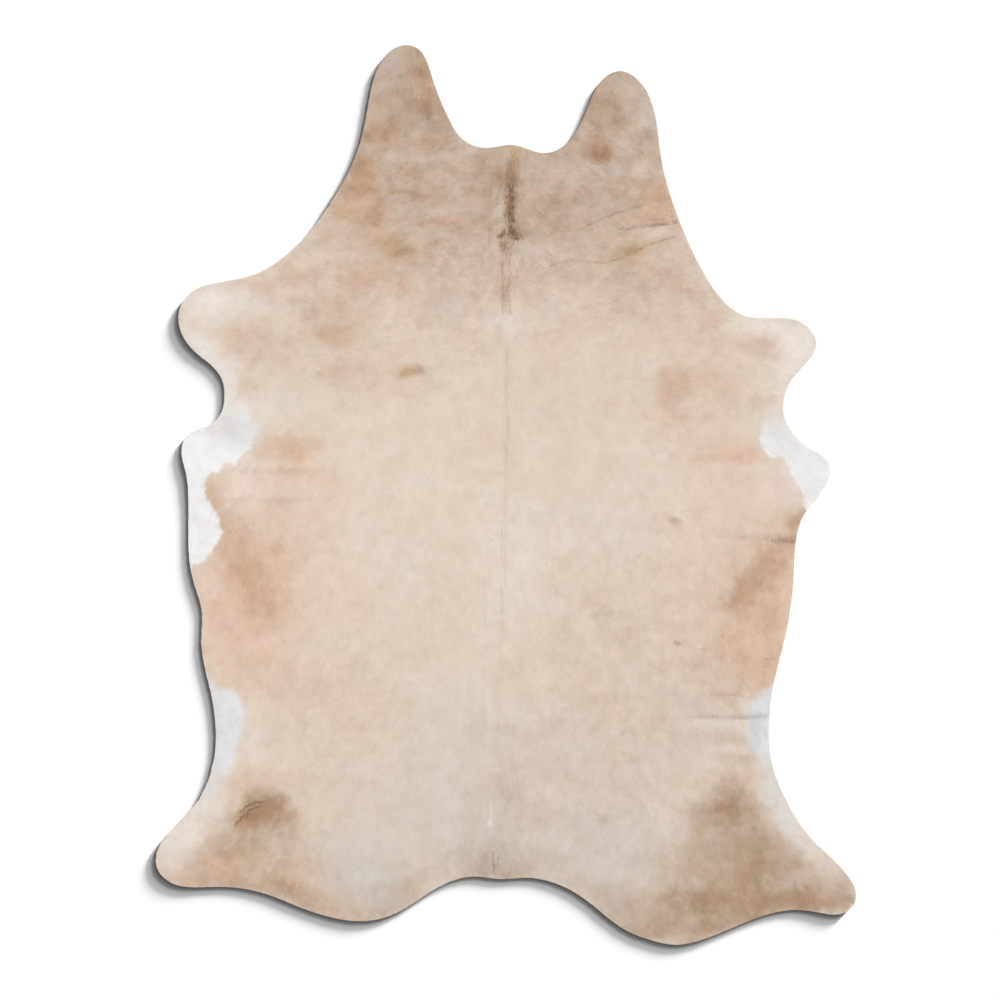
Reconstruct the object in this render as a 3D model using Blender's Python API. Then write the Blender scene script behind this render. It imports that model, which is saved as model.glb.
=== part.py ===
"""A natural cowhide with the hair on, lying on a floor with its hair side up.

It is one skin, tanned and cut to one outline: two flaps of neck with the nape between them at one end,
the tail edge at the other, and the skin of a leg at each corner. The leather is one even sheet. The hair lies
flat on it and thins out at the cut edge. The skin lies flat, but for a few soft folds and some corners that
stand off the floor.

Metres, +Z up. The origin is on the floor under the middle of the hide. +Y runs along the spine towards the
neck, and +X is to the right when the hide is seen from above.
"""

from collections import namedtuple

import bmesh
import bpy
import numpy as np
from mathutils import Vector, geometry, noise

MM = 0.001

# Driving dimensions
LEATHER = 2.2 * MM
COAT = 2.4 * MM
COAT_AT_EDGE = 1.4 * MM
COAT_SLOPE = 6 * MM
COAT_UNEVENNESS = 0.5 * MM
COAT_PATCH = 160 * MM

# Spacing of the mesh's points
EDGE_SPACING = 16 * MM
OPEN_SPACING = 46 * MM
FOLD_SPACING = 15 * MM
LEAST_GAP = 0.6  # of the spacing, where two spacings meet
CURVE_STEPS = 24
SAME_PLACE = 1e-7

# The cut edge, clockwise from the nape, seen from above. Each point is (across, along) in millimetres.
OUTLINE = {
    "nape": ((-52, 867), (18, 874), (93, 854), (130, 863)),
    "right neck flap": ((165, 894), (211, 987), (235, 1031), (285, 1059), (343, 1021), (362, 984)),
    "right neck": ((385, 854), (423, 709), (485, 569), (523, 507), (560, 467), (598, 446)),
    "right foreleg": ((648, 441), (698, 441), (735, 432), (763, 408), (775, 382), (765, 349)),
    "right armpit": ((735, 314), (708, 279), (695, 242), (694, 199), (710, 162), (740, 129)),
    "right belly lobe": ((780, 104), (805, 79), (810, 59), (800, 27), (778, -8), (743, -53)),
    "right flank": ((728, -93), (720, -163), (716, -238), (688, -393), (668, -476), (657, -568), (660, -651)),
    "right hind leg": ((685, -733), (723, -806), (760, -858), (810, -906), (853, -953), (874, -996)),
    "right hock": ((870, -1022), (840, -1047), (785, -1045), (723, -1038), (660, -1048), (510, -1106)),
    "right buttock": ((418, -1125), (360, -1113), (305, -1092), (198, -1012), (148, -982), (98, -964)),
    "tail": ((48, -958), (-15, -961), (-77, -955), (-127, -963), (-177, -986)),
    "left buttock": ((-277, -1047), (-327, -1063), (-377, -1066), (-440, -1056), (-515, -1032)),
    "left hock": ((-590, -1002), (-665, -984), (-752, -981), (-815, -978), (-854, -959), (-874, -928)),
    "left hind leg": ((-872, -893), (-852, -858), (-808, -809), (-767, -761), (-742, -706), (-727, -643)),
    "left flank": ((-726, -581), (-734, -513), (-762, -363), (-761, -288), (-775, -238), (-788, -188)),
    "left belly lobe": ((-794, -101), (-794, -13), (-801, 57), (-811, 112), (-802, 141), (-772, 162)),
    "left armpit": ((-735, 178), (-713, 202), (-704, 242), (-709, 284), (-732, 319), (-772, 352)),
    "left foreleg": ((-805, 391), (-819, 439), (-808, 481), (-777, 512), (-727, 528), (-665, 540)),
    "left neck": ((-610, 558), (-552, 597), (-490, 658), (-440, 727), (-400, 795), (-361, 892)),
    "left neck flap": ((-342, 987), (-331, 1037), (-310, 1087), (-285, 1112), (-250, 1124), (-217, 1112)),
    "left neck flap, inner side": ((-200, 1087), (-183, 1037), (-142, 937), (-120, 900), (-87, 875)),
}

# Soft folds in the skin, highest where they start at the edge. Places, widths and heights are in millimetres.
Fold = namedtuple("Fold", "name start end half_width height")
FOLDS = (
    Fold("right neck, upper", start=(445, 690), end=(290, 667), half_width=36, height=4.0),
    Fold("right neck, lower", start=(440, 657), end=(120, 550), half_width=48, height=3.5),
    Fold("nape", start=(190, 676), end=(330, 716), half_width=38, height=1.8),
    Fold("right flank", start=(735, -106), end=(560, -98), half_width=34, height=4.5),
    Fold("right flank, rear", start=(668, -553), end=(360, -560), half_width=40, height=3.5),
    Fold("right thigh", start=(672, -606), end=(540, -601), half_width=32, height=2.5),
    Fold("left neck", start=(-440, 735), end=(-285, 690), half_width=42, height=1.6),
)

# Corners and lobes that the dried skin holds a little off the floor. Reach is how far in the lift fades out.
Lift = namedtuple("Lift", "name place reach height")
LIFTS = (
    Lift("left neck flap", place=(-255, 1150), reach=190, height=1.4),
    Lift("right neck flap", place=(290, 1080), reach=150, height=1.2),
    Lift("left foreleg", place=(-845, 440), reach=190, height=1.4),
    Lift("right foreleg", place=(800, 395), reach=160, height=1.8),
    Lift("left belly lobe", place=(-835, 60), reach=150, height=1.0),
    Lift("right belly lobe", place=(835, 50), reach=150, height=2.0),
    Lift("left hock", place=(-900, -930), reach=210, height=1.6),
    Lift("right hock", place=(905, -1020), reach=220, height=1.8),
    Lift("left buttock", place=(-370, -1095), reach=150, height=0.8),
    Lift("right buttock", place=(415, -1155), reach=170, height=0.8),
)

HAIR_COLOUR = (0.76, 0.65, 0.54, 1)
FLESH_SIDE_COLOUR = (0.62, 0.55, 0.47, 1)


def clear_scene():
    for thing in list(bpy.data.objects):
        bpy.data.objects.remove(thing, do_unlink=True)


def material(name, colour, roughness):
    made = bpy.data.materials.new(name)
    made.use_nodes = True
    shader = made.node_tree.nodes["Principled BSDF"]
    shader.inputs["Base Color"].default_value = colour
    shader.inputs["Roughness"].default_value = roughness
    shader.inputs["Metallic"].default_value = 0
    return made


def smooth_step(share):
    share = np.clip(share, 0, 1)
    return share * share * (3 - 2 * share)


def edge_slopes(points, gaps, directions):
    """The slope at each point of the closed cubic curve that bends evenly through them all."""
    count = len(points)
    stiffness = np.zeros((count, count))
    for here in range(count):
        stiffness[here, here - 1] = 1 / gaps[here - 1]
        stiffness[here, here] = 2 / gaps[here - 1] + 2 / gaps[here]
        stiffness[here, (here + 1) % count] = 1 / gaps[here]
    pull = directions / gaps[:, None]
    return np.linalg.solve(stiffness, 3 * (pull + np.roll(pull, 1, axis=0)))


def cut_edge():
    """Points EDGE_SPACING or so apart on the closed smooth curve through the outline, its box centred."""
    points = np.array([point for stretch in OUTLINE.values() for point in stretch]) * MM
    following = np.roll(points, -1, axis=0)
    gaps = np.linalg.norm(following - points, axis=1)
    slopes = edge_slopes(points, gaps, (following - points) / gaps[:, None])
    slopes_following = np.roll(slopes, -1, axis=0)
    fine = []
    for step in range(CURVE_STEPS):
        share = step / CURVE_STEPS
        back = 1 - share
        fine.append(
            points * back * back * (1 + 2 * share)
            + following * share * share * (1 + 2 * back)
            + gaps[:, None] * share * back * (slopes * back - slopes_following * share)
        )
    curve = np.stack(fine, axis=1).reshape(-1, 2)
    curve = np.vstack([curve, curve[:1]])
    run = np.concatenate([[0], np.cumsum(np.linalg.norm(np.diff(curve, axis=0), axis=1))])
    stops = np.linspace(0, run[-1], round(run[-1] / EDGE_SPACING), endpoint=False)
    edge = np.stack([np.interp(stops, run, curve[:, 0]), np.interp(stops, run, curve[:, 1])], axis=1)
    return edge - (edge.min(axis=0) + edge.max(axis=0)) / 2


def moved_in(edge, distance):
    """The clockwise edge, moved into the hide."""
    along = np.roll(edge, -1, axis=0) - np.roll(edge, 1, axis=0)
    along /= np.linalg.norm(along, axis=1)[:, None]
    return edge + distance * np.stack([along[:, 1], -along[:, 0]], axis=1)


def across_fold(fold, places):
    """How far each place is from the fold's line, in half widths, and how far along it, from 0 to 1."""
    start = np.array(fold.start) * MM
    run = np.array(fold.end) * MM - start
    share = np.clip((places - start) @ run / (run @ run), 0, 1)
    away = np.linalg.norm(places - start - share[:, None] * run, axis=1)
    return away / (fold.half_width * MM), share


def off_floor(places):
    """How far the flesh side stands off the floor at each place."""
    height = np.zeros(len(places))
    for fold in FOLDS:
        away, share = across_fold(fold, places)
        ridge = fold.height * MM * smooth_step(1 - away)
        height = np.maximum(height, ridge * (1 - smooth_step(share)))
    for lift in LIFTS:
        away = np.linalg.norm(places - np.array(lift.place) * MM, axis=1)
        height += lift.height * MM * smooth_step(1 - away / (lift.reach * MM))
    return height


def coat_depth(place):
    """The lying hair's depth, uneven from patch to patch."""
    return COAT + COAT_UNEVENNESS * noise.noise(Vector((*place, 0)) / COAT_PATCH)


def triangular_grid(low, high, spacing):
    """Places in rows, each row half a spacing out of step with the last."""
    row_gap = spacing * 3**0.5 / 2
    rows = int((high[1] - low[1]) / row_gap) + 1
    columns = int((high[0] - low[0]) / spacing) + 1
    return np.array(
        [
            (low[0] + (column + row % 2 / 2) * spacing, low[1] + row * row_gap)
            for row in range(rows)
            for column in range(columns)
        ]
    )


def inside(places, edge):
    """Whether each place is inside the closed edge, by counting the crossings to its right."""
    ends = np.roll(edge, -1, axis=0)
    crossings = np.zeros(len(places), int)
    for (x0, y0), (x1, y1) in zip(edge, ends):
        spans = (places[:, 1] < y0) != (places[:, 1] < y1)
        level = (places[:, 1] - y0) / (y1 - y0) if y1 != y0 else 0
        crossings += spans & (places[:, 0] < x0 + level * (x1 - x0))
    return crossings % 2 == 1


def inner_places(shoulder):
    """Places inside the ring where the coat is full, close together on the folds and less so elsewhere."""
    chosen = shoulder
    for spacing in (FOLD_SPACING, OPEN_SPACING):
        places = triangular_grid(shoulder.min(axis=0), shoulder.max(axis=0), spacing)
        places = places[inside(places, shoulder)]
        if spacing == FOLD_SPACING:
            on_fold = [across_fold(fold, places)[0] < 1 for fold in FOLDS]
            places = places[np.any(on_fold, axis=0)]
        gaps = np.linalg.norm(places[:, None] - chosen[None], axis=2).min(axis=1)
        chosen = np.vstack([chosen, places[gaps > LEAST_GAP * spacing]])
    return chosen[len(shoulder) :]


def triangles_between(places, edge):
    """Triangles over all the places that lie inside the edge, whose own places come first."""
    ring = [(here, (here + 1) % len(edge)) for here in range(len(edge))]
    vectors = [Vector(place) for place in places]
    _, _, triangles, order, _, _ = geometry.delaunay_2d_cdt(vectors, ring, [], 0, SAME_PLACE, True)
    corners = np.array([[order[corner][0] for corner in triangle] for triangle in triangles])
    return corners[inside(places[corners].mean(axis=1), edge)].tolist()


def make_hide():
    edge = cut_edge()
    shoulder = moved_in(edge, COAT_SLOPE)
    places = np.vstack([edge, shoulder, inner_places(shoulder)])
    count = len(edge)
    floor_gap = off_floor(places)
    mesh = bmesh.new()
    under = [mesh.verts.new((*place, gap)) for place, gap in zip(places, floor_gap)]
    over = [
        mesh.verts.new((*place, gap + LEATHER + (COAT_AT_EDGE if i < count else coat_depth(place))))
        for i, (place, gap) in enumerate(zip(places, floor_gap))
    ]
    for corners in triangles_between(places, edge):
        mesh.faces.new([over[corner] for corner in corners])
        mesh.faces.new([under[corner] for corner in reversed(corners)]).material_index = 1
    for here in range(count):
        following = (here + 1) % count
        mesh.faces.new([under[here], over[here], over[following], under[following]]).material_index = 1
    bmesh.ops.recalc_face_normals(mesh, faces=mesh.faces)
    data = bpy.data.meshes.new("cowhide")
    mesh.to_mesh(data)
    mesh.free()
    data.materials.append(material("hair coat", HAIR_COLOUR, roughness=0.75))
    data.materials.append(material("flesh side", FLESH_SIDE_COLOUR, roughness=0.9))
    data.shade_smooth()
    hide = bpy.data.objects.new("cowhide", data)
    bpy.context.scene.collection.objects.link(hide)
    return hide


clear_scene()
make_hide()
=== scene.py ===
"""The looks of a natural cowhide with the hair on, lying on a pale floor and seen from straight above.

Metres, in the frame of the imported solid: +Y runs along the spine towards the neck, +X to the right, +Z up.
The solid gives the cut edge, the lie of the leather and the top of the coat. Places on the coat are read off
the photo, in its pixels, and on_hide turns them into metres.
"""

from collections import namedtuple

import bpy
import numpy as np
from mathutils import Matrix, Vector, geometry
from mathutils.bvhtree import BVHTree


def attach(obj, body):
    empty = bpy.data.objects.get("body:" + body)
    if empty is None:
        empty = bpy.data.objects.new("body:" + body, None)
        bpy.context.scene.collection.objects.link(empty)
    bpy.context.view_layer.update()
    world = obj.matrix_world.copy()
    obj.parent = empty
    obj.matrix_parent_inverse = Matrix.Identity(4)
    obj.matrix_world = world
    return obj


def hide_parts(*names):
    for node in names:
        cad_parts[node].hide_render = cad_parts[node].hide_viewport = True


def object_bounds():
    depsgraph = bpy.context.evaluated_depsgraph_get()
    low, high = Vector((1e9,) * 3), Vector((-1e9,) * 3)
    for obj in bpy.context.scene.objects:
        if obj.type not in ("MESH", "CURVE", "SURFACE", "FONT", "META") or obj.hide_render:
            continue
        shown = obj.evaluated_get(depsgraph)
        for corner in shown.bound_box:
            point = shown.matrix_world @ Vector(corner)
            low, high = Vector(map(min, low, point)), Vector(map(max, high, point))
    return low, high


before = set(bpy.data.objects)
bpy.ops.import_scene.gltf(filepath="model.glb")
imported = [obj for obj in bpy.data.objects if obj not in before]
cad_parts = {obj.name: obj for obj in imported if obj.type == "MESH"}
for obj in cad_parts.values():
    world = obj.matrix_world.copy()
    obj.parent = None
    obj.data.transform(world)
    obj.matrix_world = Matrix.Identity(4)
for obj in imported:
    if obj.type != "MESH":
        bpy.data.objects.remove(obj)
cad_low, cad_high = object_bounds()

# The chart of the hide
# One cowhide is one skin, tanned whole and trimmed to one outline. Everything on it, from the leather's
# height to the way its hair lies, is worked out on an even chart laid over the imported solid.

MM = 0.001
CHART_STEP = 2.5 * MM
CHART_MARGIN = 30 * MM
SAME_PLACE = 0.01 * MM
FACES_UP = 0.3
RIM_STEPS = 4
RIM_REACH = 28 * MM
TINY = 1e-12
# Places on the chart's last row are read from the cell before it.
LAST_CELL = 1.001
PIXEL = 2.5 * MM
PHOTO_SIZE = 1000
PHOTO_MIDDLE = (505.9, 494.75)
# Unevenness is two layers of random patches: each one's turn in radians, its share, and how much finer it is.
UNEVEN_LAYERS = ((0.4, 0.65, 1), (1.3, 0.35, 2))
UNEVEN_REACH = 3
UNEVEN_GAIN = 1.6

hide_low, hide_high = np.array(cad_low[:2]), np.array(cad_high[:2])
chart_low = hide_low - CHART_MARGIN
chart_size = np.ceil((hide_high + CHART_MARGIN - chart_low) / CHART_STEP).astype(int) + 1
chart_places = np.stack(
    np.meshgrid(*(low + CHART_STEP * np.arange(size) for low, size in zip(chart_low, chart_size))), axis=-1
)


def on_hide(x, y):
    """The place on the hide under a pixel of the photo."""
    x, y = np.asarray(x), np.asarray(y)
    return np.stack([(x - PHOTO_MIDDLE[0]) * PIXEL, (PHOTO_MIDDLE[1] - y) * PIXEL], -1)


def path_on_hide(path):
    """The knots of a path of photo pixels."""
    return on_hide(*np.array(path, float).T)


def blended(values, column, row, across, along):
    """Values between the four points of a grid's cell."""
    near = values[row, column] * (1 - across) + values[row, column + 1] * across
    far = values[row + 1, column] * (1 - across) + values[row + 1, column + 1] * across
    return near * (1 - along) + far * along


def read(chart, places):
    """A chart's values at places, evenly blended between its points."""
    cell = np.clip((places - chart_low) / CHART_STEP, 0, chart_size - LAST_CELL)
    across, along = (cell % 1).T
    if chart.ndim == 3:
        across, along = across[:, None], along[:, None]
    return blended(chart, *cell.astype(int).T, across, along)


def blurred(chart, reach):
    """A chart with every value spread over its neighbours out to about reach."""
    sigma = reach / CHART_STEP / 2
    offsets = np.arange(-int(3 * sigma), int(3 * sigma) + 1)
    weights = np.exp(-0.5 * (offsets / sigma) ** 2)
    weights /= weights.sum()
    for axis in (0, 1):
        sides = [(len(offsets) // 2,) * 2 if a == axis else (0, 0) for a in (0, 1)]
        padded = np.pad(chart, sides, mode="edge")
        line = np.arange(chart.shape[axis])
        chart = sum(w * np.take(padded, line + k, axis) for k, w in enumerate(weights))
    return chart


def smooth_step(share):
    """A share from 0 to 1 that starts and ends gently."""
    share = np.clip(share, 0, 1)
    return share * share * (3 - 2 * share)


def turning(angle):
    """The matrix that turns rows of places clockwise by an angle."""
    return np.array([[np.cos(angle), -np.sin(angle)], [np.sin(angle), np.cos(angle)]])


def uneven(places, size, seed):
    """Soft random values from -1 to 1, with patches about as wide as size."""
    rng = np.random.default_rng(seed)
    total = 0
    for turn, share, finer in UNEVEN_LAYERS:
        cell = (places @ turning(turn) + UNEVEN_REACH) * finer / size
        knots = rng.uniform(-1, 1, (int(2 * UNEVEN_REACH * finer / size) + 3,) * 2)
        total = total + share * blended(knots, *cell.astype(int).T, *smooth_step(cell % 1).T)
    return total * UNEVEN_GAIN


def points_of(mesh):
    """A mesh's points as rows."""
    points = np.empty(len(mesh.vertices) * 3, np.float32)
    mesh.vertices.foreach_get("co", points)
    return points.reshape(-1, 3)


def solid_mesh(node):
    """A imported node's points and triangles, with the points that share a place joined."""
    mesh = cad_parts[node].data
    mesh.calc_loop_triangles()
    points = points_of(mesh)
    triangles = np.empty(len(mesh.loop_triangles) * 3, np.int32)
    mesh.loop_triangles.foreach_get("vertices", triangles)
    whole = np.round(points / SAME_PLACE).astype(np.int64)
    first, joined = np.unique(whole, axis=0, return_index=True, return_inverse=True)[1:]
    return points[first].astype(float), joined.ravel()[triangles.reshape(-1, 3)]


def upright(points, triangles):
    """The normal of each triangle, as long as twice its area."""
    a, b, c = (points[triangles[:, k]] for k in range(3))
    return np.cross(b - a, c - a)


def unit(ways):
    """The same ways, one long."""
    return ways / (np.linalg.norm(ways, axis=-1)[..., None] + TINY)


def leftward(ways):
    """Flat ways, each turned a quarter turn to the left."""
    return np.stack([-ways[..., 1], ways[..., 0]], axis=-1)


def cut_edge(points, triangles):
    """The rim of the faces that look up, as one closed line of places, counterclockwise."""
    up = triangles[unit(upright(points, triangles))[:, 2] > FACES_UP]
    directed = np.concatenate([up[:, [0, 1]], up[:, [1, 2]], up[:, [2, 0]]])
    first, uses = np.unique(np.sort(directed, axis=1), axis=0, return_index=True, return_counts=True)[1:]
    following = dict(directed[first[uses == 1]])
    start = next(iter(following))
    line = [start]
    while following[line[-1]] != start:
        line.append(following[line[-1]])
    return points[line][:, :2]


def finer_curve(line):
    """A closed line with RIM_STEPS points for each of its own, on a smooth curve through them."""
    before, after, beyond = (np.roll(line, shift, axis=0)[:, None] for shift in (1, -1, -2))
    here = line[:, None]
    t = (np.arange(RIM_STEPS) / RIM_STEPS)[None, :, None]
    curve = here + 0.5 * t * (after - before + t * (
        2 * before - 5 * here + 4 * after - beyond + t * (3 * (here - after) + beyond - before)))
    return curve.reshape(-1, 2)


def inside_rim(places):
    """Which rows of chart places lie within the cut edge, by counting the crossings on their left."""
    ends = np.roll(rim, -1, axis=0)
    held = np.zeros(places.shape[:2], bool)
    for k, row in enumerate(places):
        y = row[0, 1]
        crosses = (rim[:, 1] <= y) != (ends[:, 1] <= y)
        share = (y - rim[crosses, 1]) / (ends[crosses, 1] - rim[crosses, 1])
        crossings = np.sort(rim[crosses, 0] + share * (ends - rim)[crosses, 0])
        held[k] = np.searchsorted(crossings, row[:, 0]) % 2 == 1
    return held


def depth_chart():
    """How far each chart point lies inside the cut edge, up to RIM_REACH. Outside it is below zero."""
    runs = np.roll(rim, -1, axis=0) - rim
    dense = np.concatenate([rim + t * runs for t in np.arange(RIM_STEPS) / RIM_STEPS])
    nearest = np.round((dense - chart_low) / CHART_STEP).astype(int)
    away = np.full(chart_places.shape[:2], RIM_REACH)
    window = int(RIM_REACH / CHART_STEP) + 1
    for down in range(-window, window + 1):
        for over in range(-window, window + 1):
            column = np.clip(nearest[:, 0] + over, 0, chart_size[0] - 1)
            row = np.clip(nearest[:, 1] + down, 0, chart_size[1] - 1)
            np.minimum.at(away, (row, column), np.linalg.norm(chart_places[row, column] - dense, axis=1))
    return np.where(inside_rim(chart_places), away, -away)


cad_points, cad_triangles = solid_mesh("cowhide")
rim = finer_curve(cut_edge(cad_points, cad_triangles))
depth = depth_chart()

# The leather
# The leather is one even sheet, about 2 mm thick, lying on the floor but for its soft folds and lifted
# corners. It was cut round with a knife, so its edge shows the raw leather. Short fur covers its upper side.

LEATHER = 2.2 * MM
FUR_UNDER_TIPS = 0.45 * MM
FUR_INSET = 0.9 * MM
RAY_STEP = 4
RAY_FROM = 0.1
LIE_BLUR = 22 * MM
COAT_BLUR = 40 * MM
COAT = 2.4 * MM
COAT_AT_EDGE = 1.4 * MM
COAT_SLOPE = 6 * MM
SPARSE = 1e-7
SKIN_SPACING = 12 * MM
SKIN_JITTER = 0.18
SKIN_CLEARANCE = 0.6


def solid_heights():
    """Charts of the solid's underside and of its thickness, smoothed over its flat faces."""
    tree = BVHTree.FromPolygons([Vector(p) for p in cad_points], [tuple(t) for t in cad_triangles.tolist()])
    under = np.zeros(chart_places.shape[:2])
    thick = np.zeros_like(under)
    found = np.zeros_like(under)
    for row in range(0, chart_size[1], RAY_STEP):
        for column in range(0, chart_size[0], RAY_STEP):
            if depth[row, column] < 0:
                continue
            x, y = chart_places[row, column]
            top = tree.ray_cast((x, y, RAY_FROM), (0, 0, -1))[0]
            bottom = tree.ray_cast((x, y, -RAY_FROM), (0, 0, 1))[0]
            if top and bottom:
                under[row, column] = bottom.z
                thick[row, column] = top.z - bottom.z
                found[row, column] = 1
    open_coat = found * (depth > COAT_SLOPE)
    means = []
    charts = ((under, found, LIE_BLUR, 0), (thick, open_coat, COAT_BLUR, LEATHER + COAT))
    for values, held, reach, outside in charts:
        weight = blurred(held, reach)
        mean = blurred(values * held, reach) / np.maximum(weight, TINY)
        means.append(np.where(weight > SPARSE, mean, outside))
    return means


underside, thickness = solid_heights()
edge_share = smooth_step(depth / COAT_SLOPE)
coat_depth = COAT_AT_EDGE + (thickness - LEATHER - COAT_AT_EDGE) * edge_share

# Furrows where the hair parts over a bend in the leather: the path in pixels of the photo, half the width and
# the depth in metres, and how much painted shade darkens the parted hair in the fold. They fade towards the
# end of their path.
Crease = namedtuple("Crease", "path half_width depth dark")
NECK_UPPER = ((646, 204), (632, 208), (620, 212), (606, 217), (596, 222), (584, 227.5))
NECK_MIDDLE = ((679, 221.4), (667, 224), (648, 226), (634, 228), (622, 229))
NECK_LOWER = ((678, 236), (664, 240), (648, 245), (636, 251), (622, 258), (604, 263), (588, 261.5),
              (570, 260.5), (552, 265.5), (535, 271.5), (515, 278))
NECK_LEFT = ((389, 191.5), (405, 191.5), (417, 196), (444, 198))
FLANK_LEFT = ((246, 470.5), (262, 473), (276, 474), (298, 470), (324, 469))
SPINE_PART = ((507, 262), (505.6, 344), (506, 404), (508, 430), (505.5, 480), (504.6, 560), (502, 620),
              (498, 690), (498, 730), (503, 770), (497, 820), (493, 860))
CREASE_FADE = 0.5
# How narrow the painted shade along a furrow is, as a share of its half width.
PAINTED_SHADE_WIDTH = 0.6
CREASES = (
    Crease(NECK_MIDDLE, 5 * MM, 1.2 * MM, 0.35),
    Crease(NECK_UPPER, 4 * MM, 0.5 * MM, 0.1),
    Crease(NECK_LOWER, 5 * MM, 0.6 * MM, 0.15),
    Crease(((797, 538), (786, 538.5), (766, 537), (745, 536.5), (728, 537)), 5 * MM, 0.6 * MM, 0.12),
    Crease(((790, 545), (768, 545.5), (735, 547)), 5 * MM, 0.5 * MM, 0.06),
    Crease(((770, 716), (757, 717), (746, 718), (723, 717.8), (706, 717.4), (663, 718)), 5 * MM, 1 * MM, 0.3),
    Crease(((741, 694.5), (729, 695.5), (720, 696), (708, 695)), 5 * MM, 0.5 * MM, 0.14),
    Crease(((744, 738), (725, 740), (706, 737)), 16 * MM, 0.8 * MM, 0.05),
    Crease(FLANK_LEFT, 7 * MM, 0.4 * MM, 0.03),
    Crease(NECK_LEFT, 5 * MM, 0.4 * MM, 0.06),
    Crease(SPINE_PART, 3.5 * MM, 0.5 * MM, 0.08),
)


def from_run(places, start, end):
    """How far places lie from a straight run, and how far along it, from 0 to 1, their nearest point is."""
    t = np.clip((places - start) @ (end - start) / np.sum((end - start) ** 2), 0, 1)
    return np.linalg.norm(places - start - t[:, None] * (end - start), axis=1), t


def from_path(places, path):
    """How far places lie from a path of photo pixels, and how far along it their nearest point is."""
    knots = path_on_hide(path)
    best = np.full(len(places), np.inf)
    share = np.zeros(len(places))
    lengths = np.linalg.norm(np.diff(knots, axis=0), axis=1)
    travelled = np.concatenate([[0], np.cumsum(lengths)])
    for k, (start, end) in enumerate(zip(knots[:-1], knots[1:])):
        away, t = from_run(places, start, end)
        nearer = away < best
        best = np.where(nearer, away, best)
        share = np.where(nearer, (travelled[k] + t * lengths[k]) / travelled[-1], share)
    return best, share


def crease_charts():
    """Charts of how deep the furrows are and of the shade painted into the parted hair in them."""
    flat = chart_places.reshape(-1, 2)
    deep = np.zeros(len(flat))
    dark = np.zeros(len(flat))
    for crease in CREASES:
        knots = path_on_hide(crease.path)
        reach = 3 * crease.half_width
        near = np.all((flat > knots.min(0) - reach) & (flat < knots.max(0) + reach), axis=1)
        away, share = from_path(flat[near], crease.path)
        fade = smooth_step((1 - share) / CREASE_FADE)
        for chart, most, width in ((deep, crease.depth, 1), (dark, crease.dark, PAINTED_SHADE_WIDTH)):
            profile = np.exp(-(away / (width * crease.half_width)) ** 2) * fade
            chart[near] = np.maximum(chart[near], most * profile)
    return deep.reshape(chart_places.shape[:2]), dark.reshape(chart_places.shape[:2])


furrow, painted_furrow_shade = crease_charts()
hair_top = underside + LEATHER + coat_depth - furrow * edge_share
fur_top = hair_top - FUR_UNDER_TIPS


def skin_places():
    """The rim's places, then inner places on an uneven grid that stays clear of it."""
    step = np.array([SKIN_SPACING, SKIN_SPACING * 3 ** 0.5 / 2])
    count = np.ceil((hide_high - hide_low) / step).astype(int)
    column, row = np.meshgrid(np.arange(count[0]), np.arange(count[1]))
    grid = np.stack([(column + 0.5 * (row % 2)) * step[0], row * step[1]], -1).reshape(-1, 2)
    jitter = np.random.default_rng(3).uniform(-SKIN_JITTER, SKIN_JITTER, grid.shape)
    grid = grid + hide_low + jitter * SKIN_SPACING
    return np.concatenate([rim, grid[read(depth, grid) > SKIN_CLEARANCE * SKIN_SPACING]])


def skin_triangles(places):
    """Triangles between places, within the rim."""
    count = len(rim)
    edges = [(k, (k + 1) % count) for k in range(count)]
    faces = np.array(geometry.delaunay_2d_cdt([Vector(p) for p in places], edges, [], 0, SPARSE)[2])
    inside = np.any(faces >= count, axis=1) | (read(depth, places[faces].mean(axis=1)) > 0)
    return faces[inside]


def inward(line):
    """The unit vectors across a closed counterclockwise line, towards its inside."""
    return unit(leftward(np.roll(line, -1, axis=0) - np.roll(line, 1, axis=0)))


def joined_mesh(name, points, faces, slots=None, smooth=True):
    """A mesh from arrays of points and triangles."""
    mesh = bpy.data.meshes.new(name)
    mesh.vertices.add(len(points))
    mesh.vertices.foreach_set("co", points.astype(np.float32).ravel())
    mesh.loops.add(faces.size)
    mesh.loops.foreach_set("vertex_index", faces.astype(np.int32).ravel())
    mesh.polygons.add(len(faces))
    mesh.polygons.foreach_set("loop_start", np.arange(0, faces.size, 3, dtype=np.int32))
    mesh.polygons.foreach_set("use_smooth", np.full(len(faces), smooth))
    if slots is not None:
        mesh.polygons.foreach_set("material_index", slots.astype(np.int32))
    mesh.update(calc_edges=True)
    return mesh


def add_object(name, data):
    """A new object in the scene, for a mesh, lamp or camera."""
    made = bpy.data.objects.new(name, data)
    bpy.context.scene.collection.objects.link(made)
    return made


# The skin's map: the fur side beside the suede side, and the cut edge in rows above them.
SIDE_SHARE = np.array([0.49, 0.9])
MAP_MARGIN = 0.005
EDGE_ROWS = 4
EDGE_LENGTH = 0.98
EDGE_START, EDGE_STEP, EDGE_HEIGHT = 0.92, 0.018, 0.012


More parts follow.
